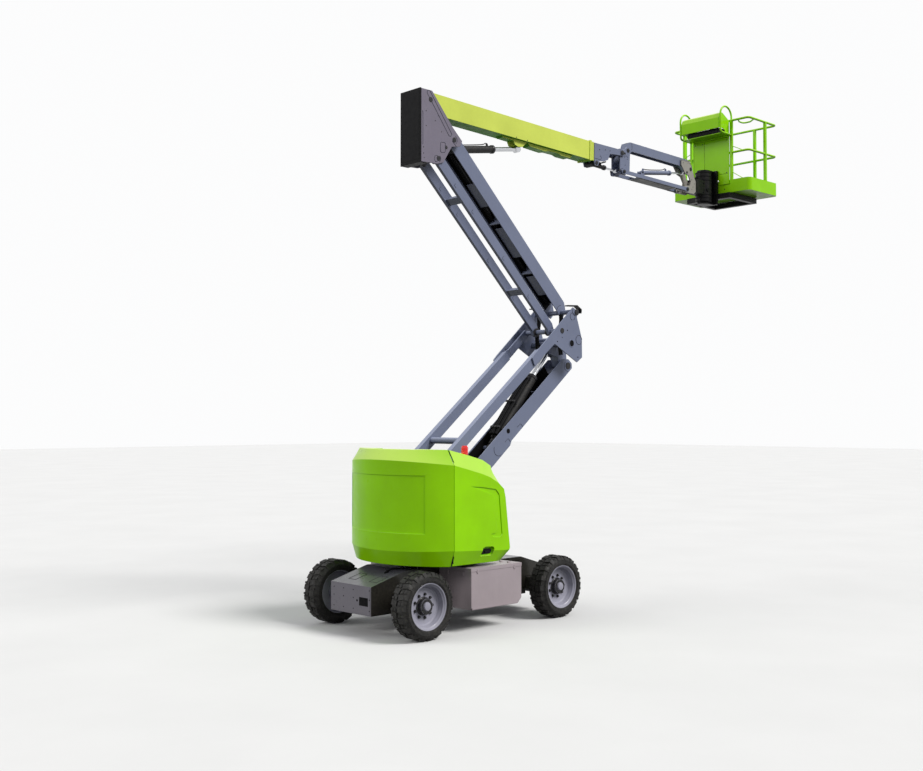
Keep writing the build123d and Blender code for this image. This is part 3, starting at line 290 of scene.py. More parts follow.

# up-facing tones below are painted light, darker on the chassis; down-facing tones are painted shade
FINISH = {
    "lime": painted("lime_enamel", LIME, rough=0.32, coat=0.12, dust=0.02, streaks=0.05, wear=0.15,
                    worn=(180, 220, 90), top_painted_light=(214, 238, 120), down_shade=0.6, spec=0.1),
    "boom_lime": painted("boom_lime_enamel", PALE_LIME, rough=0.42, coat=0.0, dust=0.05, streaks=0.06,
                         wear=0.2, top_painted_light=(224, 236, 140), down_shade=0.95, spec=0.08, down_shade_tone=(52, 138, 8)),
    "arm_grey": painted("arm_slate_enamel", SLATE, rough=0.36, coat=0.15, dust=0.08, spec=0.3,
                        top_painted_light=(150, 158, 184), down_shade=0.8),
    "upright_grey": painted("upright_enamel", UPRIGHT, rough=0.4, coat=0.15, dust=0.1, down_shade=0.7),
    "sand_grey": painted("bracket_enamel", SAND, rough=0.4, coat=0.1, dust=0.12, down_shade=0.7),
    "chassis_grey": painted("chassis_enamel", CHASSIS, rough=0.3, coat=0.4, dust=0.04, low_dirt=0.12,
                            spec=0.15, down_shade=0.7, top_painted_light=(72, 72, 78), sides=(22, 22, 20)),
    "box_grey": painted("box_enamel", BOX, rough=0.42, coat=0.12, dust=0.08, low_dirt=0.15, down_shade=0.7),
    "black_paint": painted("black_enamel", BLACK, rough=0.42, coat=0.08, dust=0.1, worn=SOOT, wear=0.25,
                           spec=0.1),
    "iron": painted("cast_iron", IRON, rough=0.5, coat=0.0, vary=0.15, dust=0.15, low_dirt=0.2, spec=0.2),
    "rim_grey": painted("rim_enamel", RIM, rough=0.36, coat=0.2, dust=0.1, low_dirt=0.15, down_shade=0.3),
    "rubber": rubber("tyre_rubber"),
    "chrome": metal("chromed_rod", rgb(200, 202, 206), 0.16, 0.12),
    "red_lamp": lamp_glass("red_lens", rgb(240, 16, 10)),
    "black_plastic": plastic("black_plastic", BLACK),
    "steel": painted("dark_steel", GUNMETAL, rough=0.4, coat=0.1, vary=0.12, dust=0.1, worn=SOOT),
    # raised beads along seams and step edges; their dark tone is painted shade, the shade on those edges
    "weld_and_shade": painted("weld_bead", rgb(62, 66, 80), rough=0.5, coat=0.0, vary=0.15, dust=0.1),
    # painted shade: near-black for sheets and discs put in channels, holes and the nose's window; also dark
    # seams and bolts
    "shadow": plastic("dark_shade_sheet", rgb(11, 11, 13), rough=0.75),
}
NODES_BY_FINISH = {
    "chassis_grey": "chassis_frame",
    "box_grey": "battery_boxes",
    "iron": "axles slew_ring counterweight tie_rod",
    "black_paint": "turntable elbow_guard rotator platform_support",
    "lime": "tail_cowl platform_floor platform_rails gate console",
    "red_lamp": "beacon",
    "arm_grey": "lower_arm lower_link elbow upper_arm upper_ladder fly_boom "
                "jib_rear_bracket jib_top_arm jib_low_arm",
    "upright_grey": "upright",
    "black_plastic": "upright_cover console_box",
    "boom_lime": "boom",
    "sand_grey": "jib_front_bracket",
}
NODE_FINISH = {node: finish for finish, nodes in NODES_BY_FINISH.items() for node in nodes.split()}
FAMILY_FINISH = {
    "tyre": "rubber",
    "rim": "rim_grey",
    "knuckle": "iron",
    "side_door": "lime",
    "lift": "iron",
    "boom": "iron",
    "jib": "arm_grey",
    "level": "iron",
}


def paint_nodes():
    """Gives every solid of the frame its finish, by its own name or its family's."""
    for node, thing in NODES.items():
        finish = NODE_FINISH.get(node)
        if finish is None:
            family = "side_door" if node.startswith("side_door") else node.split("_")[0]
            finish = "chrome" if node.endswith("_rod") else FAMILY_FINISH[family]
        thing.data.materials.clear()
        thing.data.materials.append(FINISH[finish])


# ---- stage
FLOOR_SIZE = 160.0
SKY_COLOUR = (0.95, 0.975, 1.0, 1.0)
SKY_STRENGTH = 0.42
BACKDROP = (0.975, 0.977, 0.98, 1.0)
SUN_COLOUR = (1.0, 0.985, 0.96)
SUNS = (
    # name, strength, width in degrees, direction the light travels
    ("key", 2.6, 24, (-0.26, 0.66, -0.70)),
    ("fill", 0.95, 34, (0.80, -0.38, -0.46)),
)


def seen_directly(nodes, links):
    """1 for the camera, for mirror-like reflections and for glass, 0 for diffuse light."""
    path = nodes.new("ShaderNodeLightPath")
    value = path.outputs["Is Camera Ray"]
    for name in ("Is Glossy Ray", "Is Transmission Ray"):
        either = nodes.new("ShaderNodeMath")
        either.operation = "MAXIMUM"
        links.new(value, either.inputs[0])
        links.new(path.outputs[name], either.inputs[1])
        value = either.outputs[0]
    return value


def add_floor():
    bpy.ops.mesh.primitive_plane_add(size=FLOOR_SIZE, location=(0, 0, -0.001))
    floor = bpy.context.object
    floor.name = "floor"
    t = Tree("floor")
    clouds = t.span(t.noise(0.6, 4.0), 0.3, 0.7)
    pale = t.mix(clouds, rgb(228, 228, 228), rgb(232, 232, 232))
    dim = t.mix(clouds, rgb(88, 88, 88), rgb(96, 96, 96))
    t.drive("Base Color", t.mix(seen_directly(t.nodes, t.links), dim, pale))
    t.fixed("Roughness", 0.8)
    t.fixed("Specular IOR Level", 0.15)
    floor.data.materials.append(t.material)


def add_world():
    world = bpy.data.worlds.new("studio")
    SCENE.world = world
    world.use_nodes = True
    nodes = world.node_tree.nodes
    links = world.node_tree.links
    soft = nodes["Background"]
    soft.inputs["Color"].default_value = SKY_COLOUR
    soft.inputs["Strength"].default_value = SKY_STRENGTH
    seen = nodes.new("ShaderNodeBackground")
    seen.inputs["Color"].default_value = BACKDROP
    seen.inputs["Strength"].default_value = 1.0
    blend = nodes.new("ShaderNodeMixShader")
    links.new(seen_directly(nodes, links), blend.inputs[0])
    links.new(soft.outputs[0], blend.inputs[1])
    links.new(seen.outputs[0], blend.inputs[2])
    links.new(blend.outputs[0], nodes["World Output"].inputs["Surface"])


def add_suns():
    for name, strength, width, way in SUNS:
        sun = bpy.data.lights.new(name, "SUN")
        sun.energy = strength
        sun.angle = radians(width)
        sun.color = SUN_COLOUR
        lamp = bpy.data.objects.new(name, sun)
        lamp.rotation_euler = Vector(way).to_track_quat("-Z", "Y").to_euler()
        SCENE.collection.objects.link(lamp)


# ---- places, read from the frame's joints
PINS = {j["name"]: Vector(j.get("pos_m") or (0, 0, 0)) for j in frame["joints"]}
FOOT = PINS["lower_arm"]
ELBOW = PINS["elbow"]
ARM_FOOT = PINS["upper_arm"]
LADDER_FOOT = PINS["upper_ladder"]
ARM_TOP = PINS["upright"]
PIVOT = PINS["boom"]
TIP = PINS["jib_level"]
JIB_LOW = PINS["jib"]
JIB_HIGH = PINS["jib_top"]
JIB_END = PINS["jib_front"]
AXLE_X = round(PINS["wheel_rear_left"].x * 1000)
AXLE_Z = round(PINS["wheel_rear_left"].z * 1000)
ARM = round((ELBOW - FOOT).length * 1000)
JIB = round((JIB_END - JIB_LOW).length * 1000)


def tilt_of(a, b):
    return atan2(b.z - a.z, b.x - a.x)


def step(start, end):
    """Millimetres from one pin to another in X and Z, to a tenth."""
    way = (end - start) * 1000
    return round(way.x, 1), round(way.z, 1)


def local(pin, angle):
    """An arm's frame: X along it from its pin, Y across, Z above it."""
    return Matrix.Translation(pin) @ Matrix.Rotation(-angle, 4, "Y")


BOOM_TILT = radians(-1.6)
LOWER = local(FOOT, tilt_of(FOOT, ELBOW))
LINK = local(PINS["lower_link"], tilt_of(FOOT, ELBOW))
UPPER = local(ARM_FOOT, tilt_of(ARM_FOOT, ARM_TOP))
LADDER = local(LADDER_FOOT, tilt_of(ARM_FOOT, ARM_TOP))
BOOM = local(PIVOT, BOOM_TILT)
JIB_ARM = local(JIB_HIGH, tilt_of(JIB_LOW, JIB_END))
JIB_RAIL = local(JIB_LOW, tilt_of(JIB_LOW, JIB_END))
HERE = Matrix()


def at(pin):
    return Matrix.Translation(pin)


# ---- mesh pieces, sizes in millimetres
SHARP_DEG = 32
# finishes that no solid has, and the slot that each piece of them takes
SLOT_OF = {"steel": "iron", "shadow": "black_paint", "weld_and_shade": "arm_grey"}
PIECES = []
SIDES = (("left", 1), ("right", -1))
UP = (0, 0, 1)


class Piece:
    """What every piece has: a name, the body that it rides on, a finish, a slot and a local frame."""

    def __init__(self, name, body, finish, where, slot):
        self.name = name
        self.body = body
        self.finish = finish
        self.where = where
        self.slot = slot or SLOT_OF.get(finish, finish)
        PIECES.append(self)

    def settle(self, data):
        """Puts the finished mesh or curve into the scene, on its body."""
        data.materials.append(FINISH[self.finish])
        thing = bpy.data.objects.new(self.name, data)
        SCENE.collection.objects.link(thing)
        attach(thing, self.body)
        return thing


class Build(Piece):
    """Facets gathered in millimetres in a local frame."""

    def __init__(self, name, body, finish, where=HERE, slot=None, bevel=0):
        super().__init__(name, body, finish, where, slot)
        self.bevel = bevel
        self.bm = bmesh.new()

    def vert(self, x, y, z):
        return self.bm.verts.new(self.where @ (Vector((x, y, z)) * 0.001))

    def rings(self, rings, looped=False):
        """Skins a list of equally long rings of points: capped at both ends, or looped back to the first."""
        made = [[self.vert(*p) for p in ring] for ring in rings]
        count = len(made[0])
        pairs = list(zip(made, made[1:]))
        if looped:
            pairs.append((made[-1], made[0]))
        for one, two in pairs:
            for i in range(count):
                j = (i + 1) % count
                self.bm.faces.new((one[i], one[j], two[j], two[i]))
        if not looped:
            self.bm.faces.new(list(reversed(made[0])))
            self.bm.faces.new(made[-1])

    def prism(self, outline, low, high, across="y"):
        """An outline in XZ pushed along Y, or one in XY pushed along Z."""
        if across == "y":
            self.rings([[(a, c, b) for a, b in outline] for c in (low, high)])
        else:
            self.rings([[(a, b, c) for a, b in outline] for c in (low, high)])

    def block(self, x0, x1, y0, y1, z0, z1):
        self.prism([(x0, z0), (x1, z0), (x1, z1), (x0, z1)], y0, y1)

    def turned(self, profile, centre, axis, steps=28):
        """A closed profile of (radius, height) turned about an axis through the centre."""
        axis = Vector(axis).normalized()
        side = axis.orthogonal().normalized()
        other = axis.cross(side)
        centre = Vector(centre)
        rings = []
        for n in range(steps):
            turn = 2 * pi * n / steps
            out = side * cos(turn) + other * sin(turn)
            rings.append([tuple(centre + out * r + axis * h) for r, h in profile])
        self.rings(rings, looped=True)

    def disc(self, centre, axis, radius, height, chamfer=2.0, steps=24):
        """A round plate with a chamfered rim and a hole of a hair's breadth at its middle."""
        c = min(chamfer, height * 0.5)
        inner = 0.05
        profile = [(inner, 0), (radius, 0), (radius, height - c), (radius - c, height), (inner, height)]
        self.turned(profile, centre, axis, steps)

    def nut(self, centre, axis, radius, height):
        """A hexagon on its washer."""
        self.disc(centre, axis, radius * 1.35, height * 0.25, 1.0, 16)
        axis = Vector(axis).normalized()
        foot = Vector(centre) + axis * height * 0.2
        self.disc(tuple(foot), axis, radius, height * 0.8, radius * 0.15, 6)

    # the next four put the same thing on the left and on the right, at a distance from the middle
    def heads(self, face, x, z, *size):
        for s in (-1, 1):
            self.disc((x, s * face, z), (0, s, 0), *size)

    def side_nuts(self, face, x, z, *size):
        for s in (-1, 1):
            self.nut((x, s * face, z), (0, s, 0), *size)

    def collars(self, profile, face, x, z, steps):
        for s in (-1, 1):
            self.turned(profile, (x, s * face, z), (0, s, 0), steps)

    def slabs(self, x0, x1, y0, y1, z0, z1):
        for s in (-1, 1):
            self.block(x0, x1, *band(s, y0, y1), z0, z1)

    def done(self):
        bmesh.ops.recalc_face_normals(self.bm, faces=self.bm.faces)
        mesh = bpy.data.meshes.new(self.name)
        self.bm.to_mesh(mesh)
        self.bm.free()
        for face in mesh.polygons:
            face.use_smooth = True
        mesh.set_sharp_from_angle(angle=radians(SHARP_DEG))
        thing = self.settle(mesh)
        if self.bevel:
            soft = thing.modifiers.new("soft", "BEVEL")
            soft.width = self.bevel * 0.001
            soft.segments = 2
            soft.limit_method = "ANGLE"


def band(s, a, b):
    """Two distances from the middle, put on side s and in rising order."""
    return sorted((s * a, s * b))


def around(count, r, phase=0.0):
    """Points spread evenly on a circle, the first one phase pitches on."""
    turns = [2 * pi * (n + phase) / count for n in range(count)]
    return [(r * cos(t), r * sin(t)) for t in turns]


def arc(x, z, r, start, end, count=14):
    """Points of an arc in XZ, angles in degrees."""
    turns = [radians(start + (end - start) * n / (count - 1)) for n in range(count)]
    return [(x + r * cos(t), z + r * sin(t)) for t in turns]


class Lines(Piece):
    """Round bars or beads along runs of points, in millimetres in a local frame."""

    def __init__(self, name, body, finish, radius, where=HERE, slot=None):
        super().__init__(name, body, finish, where, slot)
        self.data = bpy.data.curves.new(name, "CURVE")
        self.data.dimensions = "3D"
        self.data.bevel_depth = radius * 0.001
        self.data.bevel_resolution = 3
        self.data.use_fill_caps = True

    def drawn(self, face, points, **kind):
        """A run of XZ points on both sides, at this distance from the middle."""
        for y in (-face, face):
            self.run([(x, y, z) for x, z in points], **kind)

    def run(self, points, cyclic=False, smooth=False):
        spline = self.data.splines.new("NURBS" if smooth else "POLY")
        spline.points.add(len(points) - 1)
        for knot, p in zip(spline.points, points):
            knot.co = (*(self.where @ (Vector(p) * 0.001)), 1.0)
        if smooth:
            spline.order_u = 3
            spline.use_endpoint_u = True
            spline.resolution_u = 8
        spline.use_cyclic_u = cyclic

    def done(self):
        self.settle(self.data)


# ---- wheels
NUTS = 9
NUT_CIRCLE = 124
HUB_BOLTS = 8
HUB_CIRCLE = 68
LUG_PITCHES = 18
LUG_FOOT = 340
LUG_TOP = 356.5
SIDEWALL_BEADS = ((312, 118.5), (300, 119.0), (264, 118.0))


def dress_wheel(end, side):
    """Rim bowl, nuts, hub and the lugs between the tyre's own."""
    body = f"wheel_{end}_{side}"
    out = 1.0 if side == "left" else -1.0
    axis = (0, out, 0)
    where = at(PINS[body])

    bowl = Build(f"rim_bowl_{end}_{side}", body, "rim_grey", where)
    shell = [(239, 100), (250, 97), (252, 104), (246, 109), (236, 105), (229, 92), (217, 84), (214, 62)]
    shell += [(206, 52), (203, 30), (190, 17), (150, 13.5), (96, 13)]
    shell += [(96, 9), (190, 9), (208, 20), (228, 60)]
    bowl.turned(shell, (0, 0, 0), axis, 72)

    nuts = Build(f"wheel_nuts_{end}_{side}", body, "steel", where)
    for x, z in around(NUTS, NUT_CIRCLE):
        nuts.nut((x, out * 13, z), axis, 13, 20)

    cap = Build(f"hub_{end}_{side}", body, "steel", where)
    barrel = [(60, 12), (98, 12), (98, 22), (90, 28), (88, 62), (80, 73), (58, 76), (50, 74)]
    cap.turned(barrel, (0, 0, 0), axis, 48)
    for x, z in around(HUB_BOLTS, HUB_CIRCLE, 0.5):
        cap.nut((x, out * 74, z), axis, 6, 8)
    tip = Build(f"hub_cap_{end}_{side}", body, "rim_grey", where)
    tip.turned([(1, 70), (44, 70), (46, 82), (40, 90), (12, 94), (1, 94)], (0, 0, 0), axis, 40)

    tread = Build(f"tread_{end}_{side}", body, "rubber", where)
    for n in range(LUG_PITCHES):
        for row, phase in ((1, 0.5), (-1, 0.0)):
            turn = 2 * pi * (n + phase) / LUG_PITCHES
            spin = Matrix.Rotation(turn, 4, "Y")
            tread.where = where @ spin
            for a, b, w, lean in ((14, 50, 15, 5), (58, 92, 12, -4)):
                lug = [(row * a, LUG_FOOT), (row * b, LUG_FOOT), (row * b, LUG_TOP), (row * a, LUG_TOP)]
                ring = [[(x + lean * (abs(y) - 50) / 50, y, z) for y, z in lug] for x in (-w, w)]
                tread.rings(ring)
    tread.where = where
    for face in (1, -1):
        for r, h in SIDEWALL_BEADS:
            tread.turned([(r - 3, 0), (r, 3.0), (r + 3, 0)], (0, face * h, 0), (0, face, 0), 90)


# ---- chassis
NOSE_REACH = {-1: 1405, 1: 1345}
NOSE_HALF = 343
PLATE_HALF = NOSE_HALF - 14
PLATE_LOW = 250
PLATE_HIGH = 532
PLATE_T = 3
WINDOW_Y = (-296, -148)
WINDOW_Z = (334, 424)
SLOPE_FOOT = Vector((-1.405, 0, 0.545))
SLOPE_ANGLE = atan2(135, 505)
SLEW_BOLTS = 28
SLEW_CIRCLE = 300
MOTOR_BOLTS = 10


def dress_nose(out):
    """Bolted end plate, at the front with a window in it."""
    name = "front" if out < 0 else "rear"
    reach = NOSE_REACH[out]
    near, far = WINDOW_Y
    sill, head = WINDOW_Z
    spans = [(-PLATE_HALF, PLATE_HALF, PLATE_LOW, PLATE_HIGH)]
    if out < 0:
        spans = [
            (-PLATE_HALF, near, PLATE_LOW, PLATE_HIGH),
            (near, far, PLATE_LOW, sill),
            (near, far, head, PLATE_HIGH),
            (far, PLATE_HALF, PLATE_LOW, PLATE_HIGH),
        ]
    plate = Build(f"nose_plate_{name}", "chassis", "chassis_grey")
    for y0, y1, z0, z1 in spans:
        plate.block(*band(out, reach, reach + PLATE_T), y0, y1, z0, z1)
    bolts = Build(f"nose_bolts_{name}", "chassis", "shadow", slot="iron")
    for y in (-318, -48, 287, 120):
        for z in (292, 407, 492):
            if out < 0 and y == -318 and z == 492:
                z = 505  # one corner bolt sits higher
            bolts.disc((out * (reach + 0.5), y, z), (out, 0, 0), 7, 4, 1.5, 14)
    if out < 0:
        # painted shade: a dark block filling the window, whose inside is in shade
        bolts.block(-reach - 2, -reach, near, far, sill, head)
        bolts.disc((-reach - 2, -113, 384), (-1, 0, 0), 13, 2.5, 1, 16)


def dress_slope():
    """Two inspection outlines on the nose's slope, and the pipe with its clips."""
    ramp = at(SLOPE_FOOT) @ Matrix.Rotation(-SLOPE_ANGLE, 4, "Y")
    lines = Lines("slope_outlines", "chassis", "black_paint", 2.0, ramp)
    for y0, y1 in ((-290, -170), (60, 180)):
        lines.run([(120, y0, 1), (290, y0, 1), (290, y1, 1), (120, y1, 1)], cyclic=True)
    pipe = Lines("nose_pipe", "chassis", "black_plastic", 8.0)
    start = (-1035, -150, 655)
    way = [start, (-975, -155, 684), (-880, -235, 690), (-760, -262, 690), (-690, -262, 690)]
    pipe.run(way, smooth=True)
    pipe.run([start, (-1060, -150, 645)])
    clips = Build("nose_clips", "chassis", "black_plastic", bevel=3)
    for x, y, low, high in ((-1020, -150, 640, 672), (-880, -235, 680, 704), (-745, -262, 680, 704)):
        clips.block(x - 12, x + 12, y - 16, y + 16, low, high)


def dress_chassis():
    for out in (-1, 1):
        dress_nose(out)
    dress_slope()
    rails = Build("frame_side_rails", "chassis", "chassis_grey")
    for low, high in ((640, 676), (240, 262)):
        rails.slabs(-900, 890, NOSE_HALF, NOSE_HALF + 5, low, high)
    ring = Build("slew_bolts", "chassis", "steel")
    for x, y in around(SLEW_BOLTS, SLEW_CIRCLE):
        ring.nut((x, y, 679), UP, 11, 12)
    ring.turned([(334, 0), (352, 0), (352, 18), (334, 18)], (0, 0, 681), UP, 72)
    for name, s in SIDES:
        motor = Build(f"drive_motor_{name}", "chassis", "steel")
        face = [(40, 0), (92, 0), (96, 14), (96, 70), (86, 84), (40, 84)]
        motor.turned(face, (AXLE_X, s * 430, AXLE_Z), (0, s, 0), 40)
        for x, z in around(MOTOR_BOLTS, 1):
            motor.nut((AXLE_X + 108 * x, s * 519, AXLE_Z + 60 * z), (0, s, 0), 7, 8)


BOX_REAR = -428
BOX_FRONT = 368
BOX_TOP = 702
BOX_FACE = 852


def dress_boxes():
    """Lid, pressed rim and latches of both side boxes."""
    for name, s in SIDES:
        lid = Build(f"box_lid_{name}", "chassis", "box_grey")
        view = [(BOX_REAR, 662), (BOX_FRONT, 662), (BOX_FRONT, BOX_TOP - 5), (BOX_FRONT - 5, BOX_TOP)]
        view += [(BOX_REAR + 5, BOX_TOP), (BOX_REAR, BOX_TOP - 5)]
        lid.prism(view, *band(s, 345, BOX_FACE + 1))
        trim = Build(f"box_trim_{name}", "chassis", "box_grey")
        face = band(s, BOX_FACE - 3, BOX_FACE)
        trim.prism([(-425, 252), (300, 252), (362, 314), (362, 334), (292, 272), (-425, 272)], *face)
        trim.prism([(-425, 250), (-411, 250), (-411, 662), (-425, 662)], *face)
        small = Build(f"box_latches_{name}", "chassis", "box_grey", bevel=1.5)
        for x in (-330, 250):
            small.block(x - 9, x + 9, *band(s, 851, 858), 640, 684)
            small.block(x - 14, x + 14, *band(s, 851, 856), 652, 662)
        for y in (480, 720):
            small.block(-431, -424, *band(s, y - 16, y + 16), 610, 655)
        for y in (640, 760):
            small.block(225, 262, *band(s, y, y + 20), BOX_TOP - 2, BOX_TOP + 14)


# ---- turntable covers
BEACON = Vector((-0.335, -0.655, 1.905))


def dress_covers():
    """Door handles, the cowl's gaskets, the beacon's base and ribs, and the tower's pin heads."""
    for name, s in SIDES:
        latch = Build(f"door_latch_{name}", f"door_{name}", "black_plastic", bevel=3)
        latch.prism([(-236, 836), (-216, 896), (-98, 892), (-84, 872), (-102, 838)], *band(s, 812, 822))
        latch.prism([(-205, 848), (-196, 872), (-118, 870), (-122, 850)], *band(s, 820, 836))
    lip = Build("cowl_gasket", "turntable", "black_plastic")
    lip.slabs(-678, -674, 475, 834, 770, 1800)
    base = Build("beacon_base", "door_right", "black_plastic", at(BEACON))
    base.turned([(30, -8), (46, -6), (46, 12), (41, 18), (30, 18)], (0, 0, 0), UP, 36)
    lens = Build("beacon_ribs", "door_right", "red_lamp", at(BEACON + Vector((0, 0, 0.02))))
    for foot in range(0, 78, 13):
        rib = [(36, foot), (40, foot + 3), (40, foot + 6), (36, foot + 9)]
        lens.turned(rib, (0, 0, 0), UP, 36)
    tower = Build("tower_pins", "turntable", "steel")
    for pin, half in ((FOOT, 222), (PINS["lower_link"], 330)):
        tower.heads(half, pin.x * 1000, pin.z * 1000, 46, 8, 2, 28)


# ---- arms
LOWER_FACE = 126
LINK_FACES = (245, 313)
UPPER_FACE = 104
LADDER_FACES = (109, 151.4)


def dress_lower():
    """Welds dark with painted edge shade, painted shade in a hole and inside the arm, pipes and ribs
    of the lower arm, and the link's welds.
    """
    marks = Lines("lower_arm_welds_and_shade", "lower_arm", "weld_and_shade", 3.0, LOWER)
    to_arm = LOWER.inverted()

    def here(x, z):
        """A place in the standing machine, as the arm's own X and Z."""
        p = to_arm @ Vector((x * 0.001, 0, z * 0.001))
        return p.x * 1000, p.z * 1000

    face = LOWER_FACE + 0.5
    marks.drawn(face, arc(*here(745, 1955), 80, 120, 265))
    for x, z in (here(905, 2045), here(1125, 2225)):
        marks.drawn(face, [(x - 45, z + 28), (x + 20, z + 28), (x + 32, z + 16), (x + 32, z - 30)])
    marks.drawn(face, arc(ARM, 0, 72, 100, 235))
    marks.drawn(face, arc(0, 0, 80, -60, 60))
    # painted shade: a dark disc on each face, the shade inside a hole
    holes = Build("lower_arm_hole_shade", "lower_arm", "shadow", LOWER)
    holes.heads(LOWER_FACE, *here(913, 2172), 30, 1.5, 1, 28)
    inside = Lines("lower_arm_pipes", "lower_arm", "black_plastic", 13.0, LOWER)
    for n, y in enumerate((-92, -64, 60, 92)):
        inside.run([(160, y, -40), (1000 + 40 * n, y, -38), (2350, y, -36)])
    # painted shade: dark sheets inside the channel, where shade falls
    shade_sheet = Build("lower_arm_shade_sheet", "lower_arm", "shadow", LOWER)
    shade_sheet.slabs(100, 2560, 114, 115.5, -60, 116)
    shade_sheet.block(100, 2560, -114, 114, -61, -59)
    caps = Build("lower_arm_ribs", "lower_arm", "arm_grey", LOWER)
    for s0 in (330, 2150):
        caps.block(s0, s0 + 10, -115, 115, -60, 20)
    edge = Lines("link_welds_and_shade", "lower_link", "weld_and_shade", 2.6, LINK)
    for face in LINK_FACES:
        edge.drawn(face, arc(ARM - 380, 0, 52, 110, 250))


CYLINDERS = {
    # body: name of the trim, its finish, degrees above the level, barrel's radius and length, rod's radius
    "lift": ("lift", "steel", 50.09, 62, 1150, 36),
    "boom": ("boom_lift", "steel", 9.72, 45, 950, 28),
    "jib": ("jib_lift", "arm_grey", 8.19, 30, 690, 15),
    "level": ("level", "steel", -2.01, 27, 290, 14),
}


def cylinder_trim(name, finish, body, where, r, length, rod_r):
    """Gland, end collar, ports and a pressure pipe on a cylinder's barrel."""
    gland = Build(f"{name}_gland", body, finish, where, "iron")
    face = [(rod_r + 1, 0), (r + 5, 0), (r + 7, 5), (r + 7, 34), (r + 1, 42), (rod_r + 1, 42)]
    gland.turned(face, (length - 38, 0, 0), (1, 0, 0), 40)
    gland.turned([(r - 2, 0), (r + 4, 0), (r + 4, 22), (r - 2, 22)], (r * 1.15, 0, 0), (1, 0, 0), 40)
    for s0 in (length - 95, r * 1.9):
        gland.disc((s0, 0, r - 3), UP, 14, 22, 2, 20)
        gland.nut((s0, 0, r + 17), UP, 11, 12)
    pipe = Lines(f"{name}_pipe", body, "black_paint", 6.0, where)
    far, near = length - 95, r * 1.9
    way = [(far, r + 26), (far - 23, r + 34), (far - 55, r + 12)]
    way += [(length * 0.5, r + 10), (near + 40, r + 12), (near, r + 26)]
    pipe.run([(x, 0, z) for x, z in way], smooth=True)


def lift_hoses(where):
    """Pipes along the lift cylinder with their clamps."""
    bundle = Lines("lift_pipes", "lift_barrel", "black_plastic", 22.0, where)
    for y, z in ((-46, 84), (0, 96), (44, 84)):
        bundle.run([(150, y, z), (600, y, z + 4), (1090, y, z)])
    clamps = Build("lift_clamps", "lift_barrel", "steel", where)
    for s0 in (230, 640, 1030):
        for low in (56, 110):
            clamps.block(s0, s0 + 24, -76, 76, low, low + 14)
        for y in (-24, 22):
            clamps.nut((s0 + 12, y, 122), UP, 8, 8)


def dress_cylinders():
    for stem, (name, finish, tilt, *sizes) in CYLINDERS.items():
        where = local(PINS[f"{stem}_cylinder"], radians(tilt))
        cylinder_trim(name, finish, f"{stem}_barrel", where, *sizes)
        if stem == "lift":
            lift_hoses(where)


ELBOW_FACE = 334
LIFT_EYE = (-240, 200)
GUARD_PIN = (-72, 668)


def dress_elbow():
    """Welds and holes, both dark with painted shade, pin heads and pipes of the elbow."""
    where = at(ELBOW)
    marks = Lines("elbow_welds_and_shade", "elbow", "weld_and_shade", 3.2, where)
    face = ELBOW_FACE + 0.8
    marks.drawn(face, arc(-30, 320, 58, 0, 345, 28))
    marks.drawn(face, arc(-150, 610, 46, 100, 260))
    marks.drawn(face, arc(-150, 610, 46, -70, 70))
    marks.drawn(face, arc(*step(ELBOW, ARM_FOOT), 52, 150, 330))
    # painted shade: dark discs on both faces where the holes' insides are in shade
    spots = Build("elbow_holes", "elbow", "shadow", where)
    for x, z, r in ((-170, 270, 40), (-250, 430, 9), (-440, 280, 8), (-50, 100, 9), (-350, 335, 6)):
        spots.heads(ELBOW_FACE, x, z, r, 1.5, 0.7, 28)
    ring = Build("elbow_rings", "elbow", "arm_grey", where)
    ring.collars([(40, 0), (49, 0), (49, 3), (40, 3)], ELBOW_FACE, -170, 270, 40)
    pins = Build("elbow_pins", "elbow", "steel", where)
    pins.heads(ELBOW_FACE, *GUARD_PIN, 30, 8, 2, 28)
    pins.collars([(30, 0), (40, 0), (40, 5), (30, 5)], ELBOW_FACE, *GUARD_PIN, 36)
    pins.heads(ELBOW_FACE, *step(ELBOW, LADDER_FOOT), 34, 6, 2, 28)
    pins.heads(LOWER_FACE, 0, 0, 44, 8, 2, 28)
    for y in (50, -50):
        pins.turned([(31, -6), (58, -6), (58, 6), (31, 6)], (LIFT_EYE[0], y, LIFT_EYE[1]), (0, 1, 0), 32)
    hoses = Lines("elbow_pipes", "elbow", "black_plastic", 15.0, where)
    for y in (-204, -172, 172, 204):
        way = [(-210, y, 130), (-245, y, 300), (-235, y, 430), (-195, y, 560), (-205, y, 640)]
        hoses.run(way, smooth=True)


